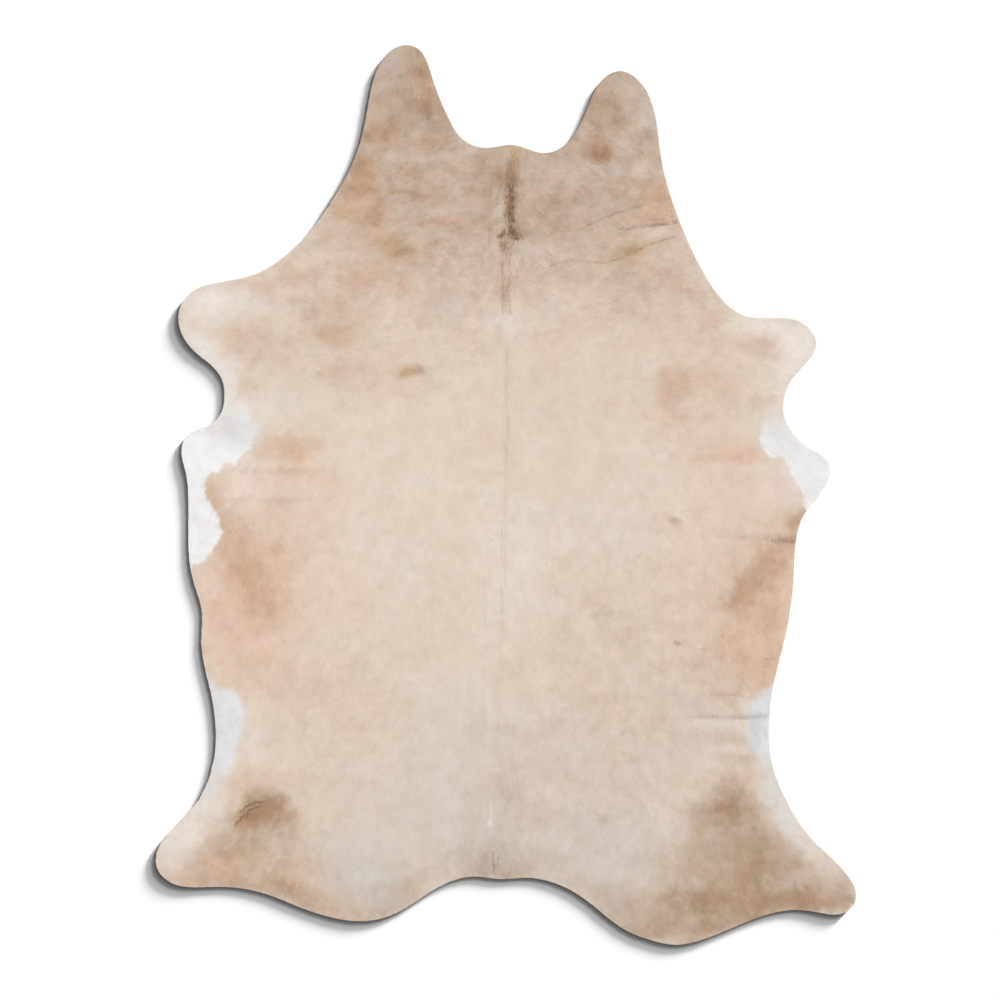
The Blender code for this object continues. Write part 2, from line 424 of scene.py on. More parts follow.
def skin_map(mesh, points, faces, fur_count, rims):
    """Lays the finish of the skin's faces out flat. The cut edge's faces come after the first fur_count."""
    flat = points[:, :2]
    share = (flat - flat.min(0)) / (flat.max(0) - flat.min(0))
    spread = (share * SIDE_SHARE + MAP_MARGIN)[faces]
    below = slice(fur_count + 2 * rims, len(faces))
    spread[below, :, 0] = 0.5 + SIDE_SHARE[0] + 2 * MAP_MARGIN - spread[below, :, 0]
    per_row = -(-rims // EDGE_ROWS)
    k = np.arange(rims)
    start = 2 * MAP_MARGIN + EDGE_LENGTH * (k % per_row) / per_row
    end = start + EDGE_LENGTH / per_row
    foot = EDGE_START + EDGE_STEP * (k // per_row)
    head = foot + EDGE_HEIGHT
    first = np.stack([start, foot, end, foot, end, head], axis=1)
    second = np.stack([start, foot, end, head, start, head], axis=1)
    spread[fur_count:fur_count + 2 * rims] = np.concatenate([first, second]).reshape(-1, 3, 2)
    mesh.uv_layers.new(name="OFBake").data.foreach_set("uv", spread.astype(np.float32).ravel())


def make_skin():
    """The closed skin: fur side up, suede side down, and the knife-cut edge between them."""
    places = skin_places()
    faces = skin_triangles(places)
    count, rims = len(places), len(rim)
    upper = places.copy()
    upper[:rims] += FUR_INSET * inward(rim)
    top = np.column_stack([upper, read(fur_top, upper)])
    low = read(underside, places)
    bottom = np.column_stack([places, low])
    cut = np.column_stack([rim, low[:rims] + LEATHER])
    k = np.arange(rims)
    nxt = (k + 1) % rims
    first_low, first_cut = count, 2 * count
    cut_faces = np.concatenate([
        np.column_stack([first_low + k, first_low + nxt, first_cut + nxt]),
        np.column_stack([first_low + k, first_cut + nxt, first_cut + k]),
    ])
    fur_faces = np.concatenate([
        np.column_stack([first_cut + k, first_cut + nxt, nxt]),
        np.column_stack([first_cut + k, nxt, k]),
    ])
    all_faces = np.concatenate([faces, fur_faces, cut_faces, first_low + faces[:, ::-1]])
    slots = np.repeat([0, 0, 1, 2], [len(faces), len(fur_faces), len(cut_faces), len(faces)])
    points = np.concatenate([top, bottom, cut])
    mesh = joined_mesh("skin", points, all_faces, slots)
    skin_map(mesh, points, all_faces, len(faces) + len(fur_faces), rims)
    return add_object("skin", mesh)


skin = make_skin()

# The lie of the hair
# Hair grows out of the skin at a slant and lies the way it grew: back along the spine, out over the sides and
# down the legs, with a little sway.

SPINE = ((511, 140), (510, 232), (507, 262), (505.5, 400), (505.5, 480), (504, 600), (499, 700), (494, 800),
         (492, 880))
SPINE_COMB_STEP = 24
SPINE_BAND = 9
SPINE_LEAN = 4
# Which way the hair points at places on the right half: the photo's column and row, and the heading in
# degrees, counterclockwise from the right. The left half mirrors them.
COMBS = (
    (527, 165, -30), (529, 205, -20), (531, 240, -6), (532, 290, 10), (534, 345, 14),
    (534, 400, 0), (534, 450, -45), (534, 520, -66),
    (536, 620, -72), (536, 720, -74), (536, 810, -78), (530, 865, -84), (560, 160, -8),
    (565, 210, -4), (570, 260, 8), (580, 320, 16), (585, 380, 2), (585, 440, -28),
    (590, 520, -52), (595, 610, -62), (600, 700, -66), (600, 790, -60), (590, 860, -70),
    (600, 90, -72), (612, 60, -80), (632, 110, -60), (600, 150, -25), (640, 180, -6),
    (650, 225, -12), (660, 280, -6), (700, 310, 0), (760, 318, -6), (805, 335, -14),
    (680, 370, -6), (740, 365, -14), (670, 430, -30), (740, 430, -34), (800, 455, -40),
    (680, 510, -56), (745, 510, -72), (780, 540, -86), (700, 590, -68), (765, 610, -82),
    (740, 690, -82), (680, 690, -70), (760, 760, -70), (680, 780, -58), (730, 820, -46),
    (780, 850, -44), (840, 890, -38), (740, 890, -52), (680, 860, -64), (660, 920, -74),
    (620, 900, -72),
)
COMB_REACH = 14 * PIXEL
COMB_BLUR = 30 * MM
HEADING_SWAY = 9
SWAY_PATCH = 55 * MM


def spine_x(y):
    """The photo column of the spine at a row of the photo."""
    return np.interp(y, *np.array(SPINE)[:, ::-1].T)


def heading_chart():
    """The unit vectors in which the hair points, blended between the combs of both halves."""
    combs = np.array(COMBS, float)
    mirrored = np.column_stack([2 * spine_x(combs[:, 1]) - combs[:, 0], combs[:, 1], 180 - combs[:, 2]])
    down = np.arange(SPINE[0][1], SPINE[-1][1], SPINE_COMB_STEP)
    along_spine = [
        np.column_stack([spine_x(down) + side * SPINE_BAND, down, np.full(len(down), side * SPINE_LEAN - 90)])
        for side in (-1, 0, 1)
    ]
    combs = np.concatenate([combs, mirrored, *along_spine])
    spots = on_hide(combs[:, 0], combs[:, 1])
    turned = np.radians(combs[:, 2])
    ways = np.stack([np.cos(turned), np.sin(turned)], axis=-1)
    coarse = chart_places[::RAY_STEP, ::RAY_STEP]
    total = np.zeros(coarse.shape)
    for spot, way in zip(spots, ways):
        gap = np.sum((coarse - spot) ** 2, axis=-1)
        total += way / (gap + (0.5 * COMB_REACH) ** 2)[..., None] ** 2 * COMB_REACH ** 4
    full = unit(total).repeat(RAY_STEP, 0).repeat(RAY_STEP, 1)[:chart_size[1], :chart_size[0]]
    full = np.stack([blurred(full[..., k], COMB_BLUR) for k in (0, 1)], axis=-1)
    flat = chart_places.reshape(-1, 2)
    sway = np.radians(HEADING_SWAY * uneven(flat, SWAY_PATCH, seed=11)).reshape(full.shape[:2])
    return turned_by(unit(full), sway)


def turned_by(ways, angle):
    """Flat unit vectors, each turned counterclockwise by its own angle."""
    cosine, sine = np.cos(angle), np.sin(angle)
    x, y = ways[..., 0], ways[..., 1]
    return np.stack([x * cosine - y * sine, x * sine + y * cosine], -1)


heading = heading_chart()


def clouds(seed, sizes):
    """A chart of soft random patches in those sizes, in photo pixels, each as strong as the next."""
    rng = np.random.default_rng(seed)
    total = np.zeros(chart_places.shape[:2])
    for size in sizes:
        patches = blurred(rng.normal(size=total.shape), size * PIXEL)
        total += patches / patches.std()
    return total / total.std()


speckles = clouds(seed=42, sizes=(2, 4, 8))

# The coat's colours
# The hair is cream to beige, greyer on the neck, tan on the flanks, brown on the hind legs and white where
# the belly was. Each mark is a soft patch of one shade. Sizes here are in pixels of the photo.

Mark = namedtuple("Mark", "shade x y long wide strength turn soft", defaults=[0, 1])

# Each row is a shade and its patches: the middle, half the length, half the width and the strength, then the
# turn in degrees and the softness of the border where these aren't 0 and 1.
MARKS = [Mark(shade, *patch) for shade, *patches in (
    # The neck and its two flaps
    ("rose", (508, 190, 195, 108, 0.95, 0, 0.6), (398, 100, 55, 75, 0.9, 0, 0.6),
     (622, 112, 50, 62, 0.85, 0, 0.6), (610, 690, 80, 140, 0.28), (330, 740, 70, 90, 0.2),
     (420, 640, 60, 90, 0.12), (320, 340, 70, 50, 0.2), (690, 380, 60, 50, 0.15), (660, 296, 54, 30, 0.45)),
    ("taupe", (420, 62, 16, 14, 0.95), (402, 80, 24, 20, 0.7), (362, 178, 18, 34, 0.45, 28),
     (385, 60, 10, 12, 0.55), (385, 105, 11, 12, 0.7), (606, 100, 20, 30, 0.35), (642, 142, 14, 12, 0.45),
     (619, 80, 13, 12, 0.6), (425, 146, 26, 11, 0.4), (404, 52, 18, 9, 0.3), (630, 115, 11, 11, 0.5),
     (600, 151, 16, 13, 0.5), (580, 200, 14, 9, 0.4), (545, 211, 10, 12, 0.35), (568, 226, 16, 6, 0.35),
     (395, 122, 11, 10, 0.9), (414, 129, 14, 12, 0.95), (480, 172, 16, 16, 0.45), (524, 212, 5, 22, 0.35)),
    ("tan", (424, 78, 10, 16, 0.3, 10), (374, 127, 12, 10, 0.65), (389, 138, 12, 7, 0.45),
     (430, 144, 12, 8, 0.6), (358, 186, 14, 18, 0.75), (343, 204, 8, 16, 0.4, -35),
     (373, 213, 15, 15, 0.75), (402, 171, 16, 3, 0.45), (440, 171, 20, 3, 0.25), (441, 199, 12, 3, 0.4),
     (462, 224, 14, 3, 0.3), (375, 233, 14, 9, 0.45), (404, 252, 15, 10, 0.75, -20),
     (365, 273, 15, 10, 0.4), (398, 290, 12, 11, 0.45), (362, 289, 8, 8, 0.35), (436, 252, 14, 12, 0.35),
     (607, 83, 8, 7, 0.5), (638, 150, 6, 5, 0.3), (657, 192, 14, 20, 0.85), (645, 200, 16, 16, 0.3),
     (612, 185, 12, 5, 0.35), (672, 208, 8, 14, 0.4), (668, 272, 16, 12, 0.4), (640, 262, 22, 10, 0.3),
     (590, 281, 18, 4, 0.25, 25), (432, 224, 17, 5, 0.45), (349, 202, 13, 16, 0.7), (330, 236, 14, 9, 0.35),
     (462, 216, 10, 6, 0.3), (640, 219, 18, 5, 0.6), (603, 240, 20, 6, 0.2), (645, 280, 26, 10, 0.2),
     (365, 278, 62, 24, 0.26), (404, 300, 18, 18, 0.22), (470, 334, 20, 18, 0.2), (385, 262, 40, 16, 0.22),
     (400, 362, 50, 40, 0.15), (390, 388, 20, 12, 0.2), (560, 325, 70, 40, 0.18), (570, 400, 50, 36, 0.11),
     (495, 415, 22, 30, 0.11), (505, 265, 6, 24, 0.3), (488, 860, 20, 12, 0.3), (530, 826, 20, 20, 0.2)),
    ("brown", (422, 111, 14, 9, 0.42), (405, 96, 9, 8, 0.35), (399, 113, 10, 6, 0.2),
     (440, 126, 12, 12, 0.5, 30), (374, 216, 9, 9, 0.3), (484, 158, 14, 5, 0.25), (405, 250, 9, 6, 0.35),
     (436.5, 243, 4, 3.5, 0.8, 0, 0.9), (601, 110, 15, 12, 0.45), (616, 123, 8, 8, 0.3),
     (596, 131, 8, 10, 0.35), (628, 254, 10, 6, 0.42, 15), (420, 66, 10, 12, 0.6), (428, 90, 8, 10, 0.45),
     (374, 129, 9, 10, 0.45), (392, 123, 5, 6, 0.35), (434, 146, 11, 8, 0.25), (361, 167, 8, 9, 0.5),
     (376, 202, 6, 12, 0.3), (392, 255, 7, 6, 0.25), (342, 182, 8, 16, 0.35, 28), (655, 194, 9, 9, 0.3),
     (608, 151, 5, 8, 0.75, 0, 0.9), (604, 158, 3, 6, 0.4, 0, 0.9), (596, 152, 3, 7, 0.4, 0, 0.9),
     (513, 166, 5, 10, 0.4), (501, 178, 9, 10, 0.55), (516, 180, 7, 6, 0.5), (511, 203, 5, 26, 0.8, 0, 0.8),
     (511, 233, 10, 5, 0.6), (505, 243, 5, 7, 0.4), (504, 290, 6, 12, 0.22),
     (491.8, 541.6, 1.8, 1.5, 0.5, 0, 0.8), (564.7, 710.6, 2, 1.6, 0.4, 0, 0.8), (500, 871, 22, 8, 0.5)),
    ("fair", (386, 82, 8, 16, 0.2), (415, 134, 8, 6, 0.3), (418, 158, 34, 5, 0.5), (472, 148, 12, 6, 0.3),
     (430, 211, 34, 5, 0.35), (545, 252, 26, 9, 0.45), (644, 118, 13, 42, 0.3, 8), (612, 172, 54, 7, 0.5),
     (630, 146, 14, 12, 0.3), (441, 300, 20, 20, 0.7), (497, 214, 3, 22, 0.4)),
    ("grey", (386, 62, 10, 12, 0.25), (423, 149, 22, 9, 0.06)),
    ("ochre", (364, 170, 9, 10, 0.5), (381, 245, 9, 6, 0.5, -20), (398, 238, 13, 5, 0.3),
     (634, 235, 22, 6, 0.3), (625, 254, 16, 9, 0.68, 15), (606, 263, 18, 4, 0.35, 8),
     (650, 246, 22, 4, 0.35, 18), (398, 192, 12, 3, 0.6), (392, 254, 11, 8, 0.45), (346, 217, 9, 7, 0.35),
     (511, 152, 8, 7, 0.55), (507, 362, 3, 16, 0.22), (506, 450, 4, 60, 0.12), (498, 872, 9, 4, 0.7)),
    ("russet", (400, 192, 14, 2.6, 0.4), (420, 196, 8, 3.5, 0.5), (433, 223.5, 18, 5, 0.5),
     (592, 151, 7, 9, 0.55, 0, 0.9), (607, 151, 7, 10, 0.65, 0, 0.9), (601, 160, 7, 6, 0.4, 0, 0.9),
     (357, 190, 8, 7, 0.8), (497, 872, 5, 3, 0.3)),
    ("pale", (500, 328, 26, 14, 0.2), (540, 300, 40, 22, 0.2), (495, 260, 80, 13, 0.14),
     (534, 262, 24, 12, 0.12), (508, 330, 5, 11, 0.4), (508, 560, 24, 60, 0.3)),
    ("ash", (622, 84, 20, 12, 0.25), (404, 54, 18, 10, 0.12), (651, 128, 8, 16, 0.2),
     (640, 140, 10, 10, 0.12)),
    # The blush strip at 655, 233 is a painted highlight on the fold between the neck's creases.
    ("blush", (655, 233, 30, 5, 0.35, 12), (683, 240, 11, 15, 0.4)),
    ("white", (362, 545, 46, 80, 0.06), (690, 500, 50, 60, 0.05)),
    ("salmon", (690, 344, 44, 24, 0.3), (672, 425, 44, 26, 0.27)),
    # The left foreleg and flank
    ("tan", (258, 284, 26, 8, 0.4, 10), (302, 278, 16, 10, 0.4), (290, 268, 18, 8, 0.25),
     (244, 334, 20, 14, 0.55), (265, 298, 12, 12, 0.65), (285, 344, 22, 7, 0.3), (320, 305, 14, 12, 0.4),
     (342, 316, 22, 18, 0.4), (332, 337, 18, 12, 0.7), (340, 374, 26, 12, 0.45), (300, 322, 14, 16, 0.25),
     (352, 285, 16, 16, 0.4), (240, 352, 12, 12, 0.35), (246, 388, 16, 9, 0.45), (275, 360, 24, 10, 0.3),
     (284, 449, 20, 9, 0.25), (286, 471, 34, 3, 0.45), (270, 500.5, 40, 3.4, 0.35),
     (210, 492, 5, 14, 0.6, 15), (214, 500, 6, 22, 0.5, -25), (220, 514, 8, 20, 0.7, 20),
     (241, 558, 16, 34, 0.95, 8, 0.9), (266, 592, 20, 26, 0.65), (258, 622, 22, 12, 0.3),
     (300, 690, 34, 18, 0.12)),
    ("taupe", (294, 301, 9, 6, 0.35), (303, 559, 5, 5, 0.3)),
    ("brown", (306, 315, 6, 6, 0.25), (239, 552, 8, 20, 0.16, -20), (247, 577, 10, 14, 0.1)),
    ("pale", (216, 304, 32, 15, 0.85), (260, 304, 18, 8, 0.4), (252, 406, 26, 14, 0.55)),
    ("blush", (192, 321, 12, 9, 0.45), (236, 482, 14, 14, 0.5), (207, 582, 12, 14, 0.5)),
    ("white", (204, 352, 27, 8, 0.55, -48), (225, 384, 9, 24, 0.5)),
    ("frost", (237, 432, 21, 14, 0.95, 0, 0.9),),
    ("salmon", (287, 449, 34, 16, 0.9, 0, 0.6), (272, 477, 54, 9, 0.75, 0, 0.9), (218, 505, 10, 14, 0.3),
     (250, 590, 56, 100, 0.9, 0, 0.5), (245, 672, 34, 18, 0.5)),
    ("ochre", (280, 452, 26, 10, 0.16), (405, 371, 10, 7, 0.9, 0, 0.8)),
    ("russet", (419, 371, 7, 5, 0.75, 0, 0.8),),
    # The left hind leg
    ("salmon", (252, 768, 16, 14, 0.4), (314, 502, 32, 28, 0.4), (330, 575, 38, 120, 0.24)),
    ("tan", (256, 784, 26, 12, 0.5), (230, 800, 14, 16, 0.45), (212, 866, 30, 20, 0.55),
     (205, 830, 12, 10, 0.3), (176, 874, 18, 9, 0.6), (300, 872, 18, 14, 0.35),
     (302, 892, 46, 14, 0.4, -20), (290, 815, 14, 13, 0.45), (328, 872, 16, 14, 0.35),
     (250, 868, 26, 14, 0.3), (405, 862, 30, 18, 0.22), (372, 785, 26, 20, 0.12)),
    ("taupe", (250, 855, 62, 34, 0.58, 8, 0.8), (392, 905, 22, 11, 0.8), (330, 915, 60, 12, 0.45, -6),
     (348, 893, 20, 13, 0.65), (322, 902, 22, 9, 0.35), (398, 884, 22, 12, 0.55), (369, 887, 24, 14, 0.5),
     (406, 896, 20, 10, 0.35), (372, 903, 24, 10, 0.5)),
    ("brown", (266, 807, 19, 14, 0.85, 0, 0.9), (278, 824, 17, 12, 0.5, -20), (245, 826, 18, 14, 0.45, 30),
     # The brown strip along the bottom edge at 246, 885 is partly painted shade at the edge.
     (252, 846, 18, 10, 0.15), (246, 885, 40, 8, 0.42, -4), (225, 850, 15, 12, 0.25),
     (236, 820, 12, 8, 0.28), (305, 898, 22, 10, 0.25, -20), (251, 814, 13, 9, 0.42, -20),
     (404, 371, 5, 4, 0.3, 0, 0.9), (286, 891, 22, 9, 0.6, -12)),
    ("ash", (168, 860, 20, 17, 0.22), (362, 872, 34, 24, 0.9), (340, 850, 24, 14, 0.3)),
    ("russet", (268, 824, 14, 8, 0.22),),
    ("grey", (392, 906, 20, 9, 0.3),),
    ("fair", (180, 858, 20, 12, 0.4), (384, 805, 50, 42, 0.5), (372, 900, 26, 10, 0.5)),
    ("pale", (184, 838, 34, 14, 0.7, 45), (218, 796, 15, 15, 0.4), (250, 492, 26, 52, 0.24),
     (243, 463, 12, 10, 0.35), (256, 738, 14, 28, 0.35)),
    ("ochre", (247, 811, 15, 11, 0.5),),
    # The tail and the back
    ("ash", (620, 860, 40, 30, 0.6), (508, 840, 110, 50, 0.55, 0, 0.8), (452, 742, 44, 46, 0.4)),
    ("taupe", (498, 864, 38, 22, 0.85), (508, 798, 14, 36, 0.5), (575, 872, 30, 14, 0.4, -30),
     (425, 872, 26, 14, 0.45, 30), (480, 857, 18, 14, 0.55), (535, 862, 20, 12, 0.2),
     (598, 890, 20, 10, 0.55), (470, 790, 14, 12, 0.25), (700, 823, 11, 16, 0.6), (640, 800, 40, 30, 0.15),
     (820, 879, 18, 7, 0.45, 20), (796, 862, 16, 9, 0.4, 40), (668, 862, 40, 20, 0.22),
     (490, 866, 26, 14, 0.45), (692, 660, 36, 60, 0.13), (808, 862, 14, 16, 0.35, 40)),
    ("pale", (668, 818, 22, 24, 0.35), (595, 540, 42, 26, 0.27), (488.5, 708, 2, 30, 0.3),
     (490.6, 808, 1, 14, 0.4, 0, 0.8), (489.6, 824, 2.6, 5, 0.6, 0, 0.8)),
    ("tan", (482, 820, 18, 14, 0.4), (538, 822, 16, 12, 0.2), (744, 779, 22, 9, 0.55),
     (745, 662, 30, 24, 0.45), (766, 612, 12, 20, 0.5), (765, 402, 10, 7, 0.5), (730, 701, 18, 10, 0.36),
     (715, 690, 15, 11, 0.3), (748, 591, 9, 10, 0.5), (545, 746, 34, 20, 0.15), (608, 806, 40, 34, 0.2),
     (520, 822, 50, 20, 0.2), (690, 742, 30, 16, 0.14), (620, 868, 40, 18, 0.2)),
    ("brown", (770, 620, 12, 12, 0.14), (748, 590, 9, 11, 0.4), (490, 868, 22, 10, 0.25)),
    ("grey", (755, 728, 6, 16, 0.6),),
    ("fair", (546, 743, 50, 28, 0.75), (492, 744, 20, 24, 0.3), (692, 728, 40, 40, 0.55),
     (456, 805, 40, 36, 0.45), (612, 800, 44, 40, 0.45)),
    ("salmon", (695, 570, 34, 90, 0.38), (722, 500, 26, 24, 0.3)),
    ("frost", (808, 462, 22, 26, 0.3),),
    ("ochre", (490, 780, 16, 50, 0.12),),
    ("russet", (674, 522, 6, 2.8, 0.55, 0, 0.9), (678, 644, 3.4, 1.8, 0.8, -15, 0.9)),
    # The right foreleg and flank
    ("tan", (713, 320, 13, 10, 0.6), (690, 296, 22, 10, 0.3), (756, 342, 30, 11, 0.35),
     (784, 346, 16, 10, 0.22), (670, 397, 13, 20, 0.75), (690, 380, 22, 12, 0.5), (728, 460, 20, 5, 0.3),
     (795, 522, 11, 15, 0.6, 40), (786, 545, 14, 10, 0.6), (768, 566, 20, 14, 0.75, 50),
     (757, 604, 14, 22, 0.4), (730, 600, 22, 34, 0.4), (740, 672, 30, 22, 0.3), (740, 757, 24, 4, 0.4)),
    ("russet", (767, 348, 14, 10, 0.35, 20),),
    ("blush", (786, 347, 20, 11, 0.65), (784, 486, 16, 18, 0.6)),
    ("salmon", (715, 385, 34, 18, 0.5), (740, 454, 27, 15, 0.95, 0, 0.7), (703, 459, 22, 4, 0.7),
     (740, 482, 36, 8, 0.5), (766, 610, 42, 92, 0.9, 0, 0.5)),
    # The taupe band at 722, 739 is painted shade on the fold by the crease.
    ("taupe", (768, 399, 12, 4, 0.2), (722, 739, 18, 5, 0.4), (742, 760, 12, 9, 0.3)),
    ("pale", (772, 326, 38, 10, 0.8, -5), (799, 348, 19, 20, 0.82), (787, 388, 18, 28, 0.6),
     # The pale bands at 726, 724 and 736, 749.5 are painted highlights on the folds beside the creases.
     (726, 724, 28, 4, 0.3), (736, 749.5, 26, 4, 0.3), (747, 707, 7, 10, 0.45, 30)),
    ("white", (807, 347, 9, 16, 0.35),),
    ("frost", (776, 436, 14, 14, 0.6),),
    ("brown", (801, 518, 4, 9, 0.4, -20), (795, 527, 6, 8, 0.4), (784, 539, 14, 5, 0.3),
     (770, 560, 12, 6, 0.12, 60), (757, 578, 8, 11, 0.36, 15), (742, 584, 6, 15, 0.3),
     (766, 564, 6, 13, 0.25), (735, 603, 11, 10, 0.42)),
    ("ash", (757, 748, 8, 12, 0.5),),
    # The right hind leg
    ("taupe", (738, 862, 72, 50, 0.85, -28, 0.8), (724, 783, 16, 12, 0.3), (840, 884, 15, 15, 0.35),
     (616, 905, 22, 10, 0.45, 35), (665, 920, 60, 28, 0.8), (781, 801, 11, 18, 0.5, -28)),
    ("brown", (728, 807, 18, 16, 0.6), (752, 797, 16, 10, 0.3), (757, 808, 9, 9, 0.35),
     (723, 808.5, 14, 2.6, 0.4, 6), (742, 832, 26, 20, 0.25, -25), (766, 862, 22, 22, 0.38, -35),
     (735, 880, 22, 10, 0.3), (672, 880, 14, 10, 0.2), (706, 900, 34, 12, 0.6, -5),
     # The brown along the bottom edge at 818, 902 is partly painted shade where the edge curves down.
     (764, 903, 46, 12, 0.65, 8), (745, 920, 30, 8, 0.5, 15), (818, 902, 34, 9, 0.8),
     (840, 896, 14, 12, 0.3), (652, 931, 30, 8, 0.35, 10), (683, 850, 14, 16, 0.18),
     (716, 926, 28, 8, 0.4, 20)),
    ("tan", (826, 880, 20, 12, 0.3),),
    ("russet", (812, 890, 14, 6, 0.4, 40),),
    ("ash", (832, 878, 20, 14, 0.3),),
    ("grey", (616, 907, 22, 9, 0.15, 35),),
    ("pale", (790, 824, 46, 9, 0.5, -52),),
    ("frost", (778, 792, 36, 8, 0.5, -62), (786, 816, 36, 12, 0.35, -55)),
) for patch in patches]

# The white belly hair. Each path runs along the border, then closes outside the cut edge, and the white grows
# from nothing at fade_from to its full share at fade_to.
White = namedtuple("White", "path soft shade fade_from fade_to")
WHITES = (
    White(((160, 380), (238, 385), (246, 408), (250, 418), (253, 432), (252, 442), (250, 450), (243, 452),
           (240, 459), (234, 466), (228, 463), (224, 464), (221, 471), (213, 474), (206, 476), (203, 483),
           (206, 498), (210, 506), (216, 514), (218, 523), (219, 529), (224, 531), (220, 537), (216, 545),
           (212, 553), (206, 560), (196, 565), (189, 566), (160, 566)),
          1.6, "white", (226, 386), (230, 440)),
    White(((206, 676), (211, 683), (218, 690), (227, 689), (235, 694), (242, 703), (244, 713), (243, 726),
           (241, 738), (237, 751), (233, 763), (227, 776), (214, 800), (194, 822), (160, 842), (180, 676)),
          4.5, "frost", (200, 846), (226, 748)),
    White(((768, 398), (765, 422), (761, 438), (764, 451), (772, 459), (780, 457), (786, 458), (788, 468),
           (793, 477), (802, 490), (806, 498), (804, 505), (806, 512), (830, 520), (850, 398)),
          1.6, "white", (778, 408), (774, 442)),
    White(((776, 684), (767, 690), (760, 695), (753, 701), (749, 708), (747.6, 717), (747, 730), (748.5, 743),
           (754, 752), (762, 760), (772, 786), (800, 800), (790, 684)),
          4.5, "frost", (764, 790), (758, 748)),
)
WIDE_PATCH, WIDE_WARP = 16, 3.5
FINE_PATCH, FINE_WARP = 5, 2.0
FULL_WARP_AT = 12
# The teeth of the white's border: the size of the patches, how far they reach, and the seed.
TEETH = ((2.6, 1.0, 31), (9, 0.8, 32))
BREAK_UP = 0.22


def inside_path(places, path):
    """How deep places lie within a closed path of photo pixels, in metres. Outside it is below zero."""
    knots = path_on_hide(path)
    ends = np.roll(knots, -1, axis=0)
    held = np.zeros(len(places), bool)
    away = np.full(len(places), np.inf)
    for start, end in zip(knots, ends):
        away = np.minimum(away, from_run(places, start, end)[0])
        if start[1] != end[1]:
            crosses = (start[1] <= places[:, 1]) != (end[1] <= places[:, 1])
            x = start[0] + (places[:, 1] - start[1]) * (end - start)[0] / (end - start)[1]
            held ^= crosses & (places[:, 0] < x)
    return np.where(held, away, -away)


def warp(places, patch, reach, seeds):
    """How far the coat's borders wander at places."""
    return np.stack([uneven(places, patch * PIXEL, seed) for seed in seeds], axis=-1) * reach * PIXEL


# In the order in which they cover each other. The first ones are broken up by the lie of the hair.
COMBED_SHADES = ("rose", "taupe", "salmon", "tan", "ochre", "brown", "russet")
SHADES = COMBED_SHADES + ("fair", "ash", "blush", "pale", "white", "frost", "grey", "dark")


def coat_shades(places):
    """How much of each shade the hair has at places, from 0 to 1."""
    left = {name: np.ones(len(places)) for name in SHADES}
    drift = warp(places, WIDE_PATCH, WIDE_WARP, (21, 22))
    ripple = warp(places, FINE_PATCH, FINE_WARP, (23, 24))
    for mark in MARKS:
        size = np.array([mark.long, mark.wide]) * PIXEL
        middle = on_hide(mark.x, mark.y)
        reach = (1 + mark.soft) * size.max() + (WIDE_WARP + FINE_WARP) * PIXEL
        near = np.all(np.abs(places - middle) < reach, axis=1)
        bend = min(1, size.min() / (FULL_WARP_AT * PIXEL))
        offset = places[near] - middle + bend * drift[near] + min(1, 2 * bend) * ripple[near]
        radius = np.linalg.norm(offset @ turning(np.radians(mark.turn)) / size, axis=1)
        left[mark.shade][near] *= 1 - mark.strength * smooth_step((1 + mark.soft - radius) / (2 * mark.soft))
    tooth = sum(uneven(places, size * PIXEL, seed) * reach * PIXEL for size, reach, seed in TEETH)
    for white in WHITES:
        border = inside_path(places, white.path) + tooth
        begin, full = on_hide(*white.fade_from), on_hide(*white.fade_to)
        grown = smooth_step((places - begin) @ (full - begin) / np.sum((full - begin) ** 2))
        left[white.shade] *= 1 - grown * smooth_step(0.5 + border / (2 * white.soft * PIXEL))
    # The furrows' painted shade is laid on through the dark shade's share.
    left["dark"] *= 1 - read(painted_furrow_shade, places)
    shares = {name: 1 - share for name, share in left.items()}
    combed = read(speckles, places)
    for name in COMBED_SHADES:
        share = shares[name]
        shares[name] = np.clip(share + BREAK_UP * combed * share * (1 - share), 0, 1)
    return shares


# How uneven the hair's own tone is: most on the neck, least on the back. Each layer of patches has its size
# in photo pixels, its share, and how strongly red, green and blue follow it. Wide dark patches are browner.
CALM_MOTTLE = 0.0175
FULL_MOTTLE = 0.05
MOTTLED = {"rose": 1, "taupe": 0.6, "brown": 0.6, "tan": 0.4, "salmon": 0.3}
Patches = namedtuple("Patches", "seed size share cast")
LAYERS = (
    Patches(43, 1.7, 0.78, (1, 1, 1.05)),
    Patches(44, 4, 0.85, (0.92, 1, 1.12)),
    Patches(45, 9, 0.95, (0.7, 1, 1.3)),
    Patches(46, 20, 0.6, (0.48, 1, 1.45)),
    Patches(47, 8, 0.2, (1, 0, -0.8)),
)
layer_charts = [clouds(layer.seed, (layer.size,)) for layer in LAYERS]
RAGGED_PATCH, RAGGED_WARP = 4, 1.4
DARKER_SKEW = 0.1


def mottling(places, shares):
    """How uneven the coat is at places, and the uneven tint there, as shares of red, green and blue."""
    calm = 1
    for name, part in MOTTLED.items():
        calm = calm * (1 - part * shares[name])
    strength = FULL_MOTTLE + (CALM_MOTTLE - FULL_MOTTLE) * calm
    ragged = warp(places, RAGGED_PATCH, RAGGED_WARP, (48, 49))
    tint = np.ones((len(places), 3))
    for layer, chart in zip(LAYERS, layer_charts):
        tone = read(chart, places + ragged)
        tone = tone - DARKER_SKEW * (tone ** 2 - 1)
        tint += (strength * layer.share * tone)[:, None] * np.array(layer.cast)
    return strength, tint


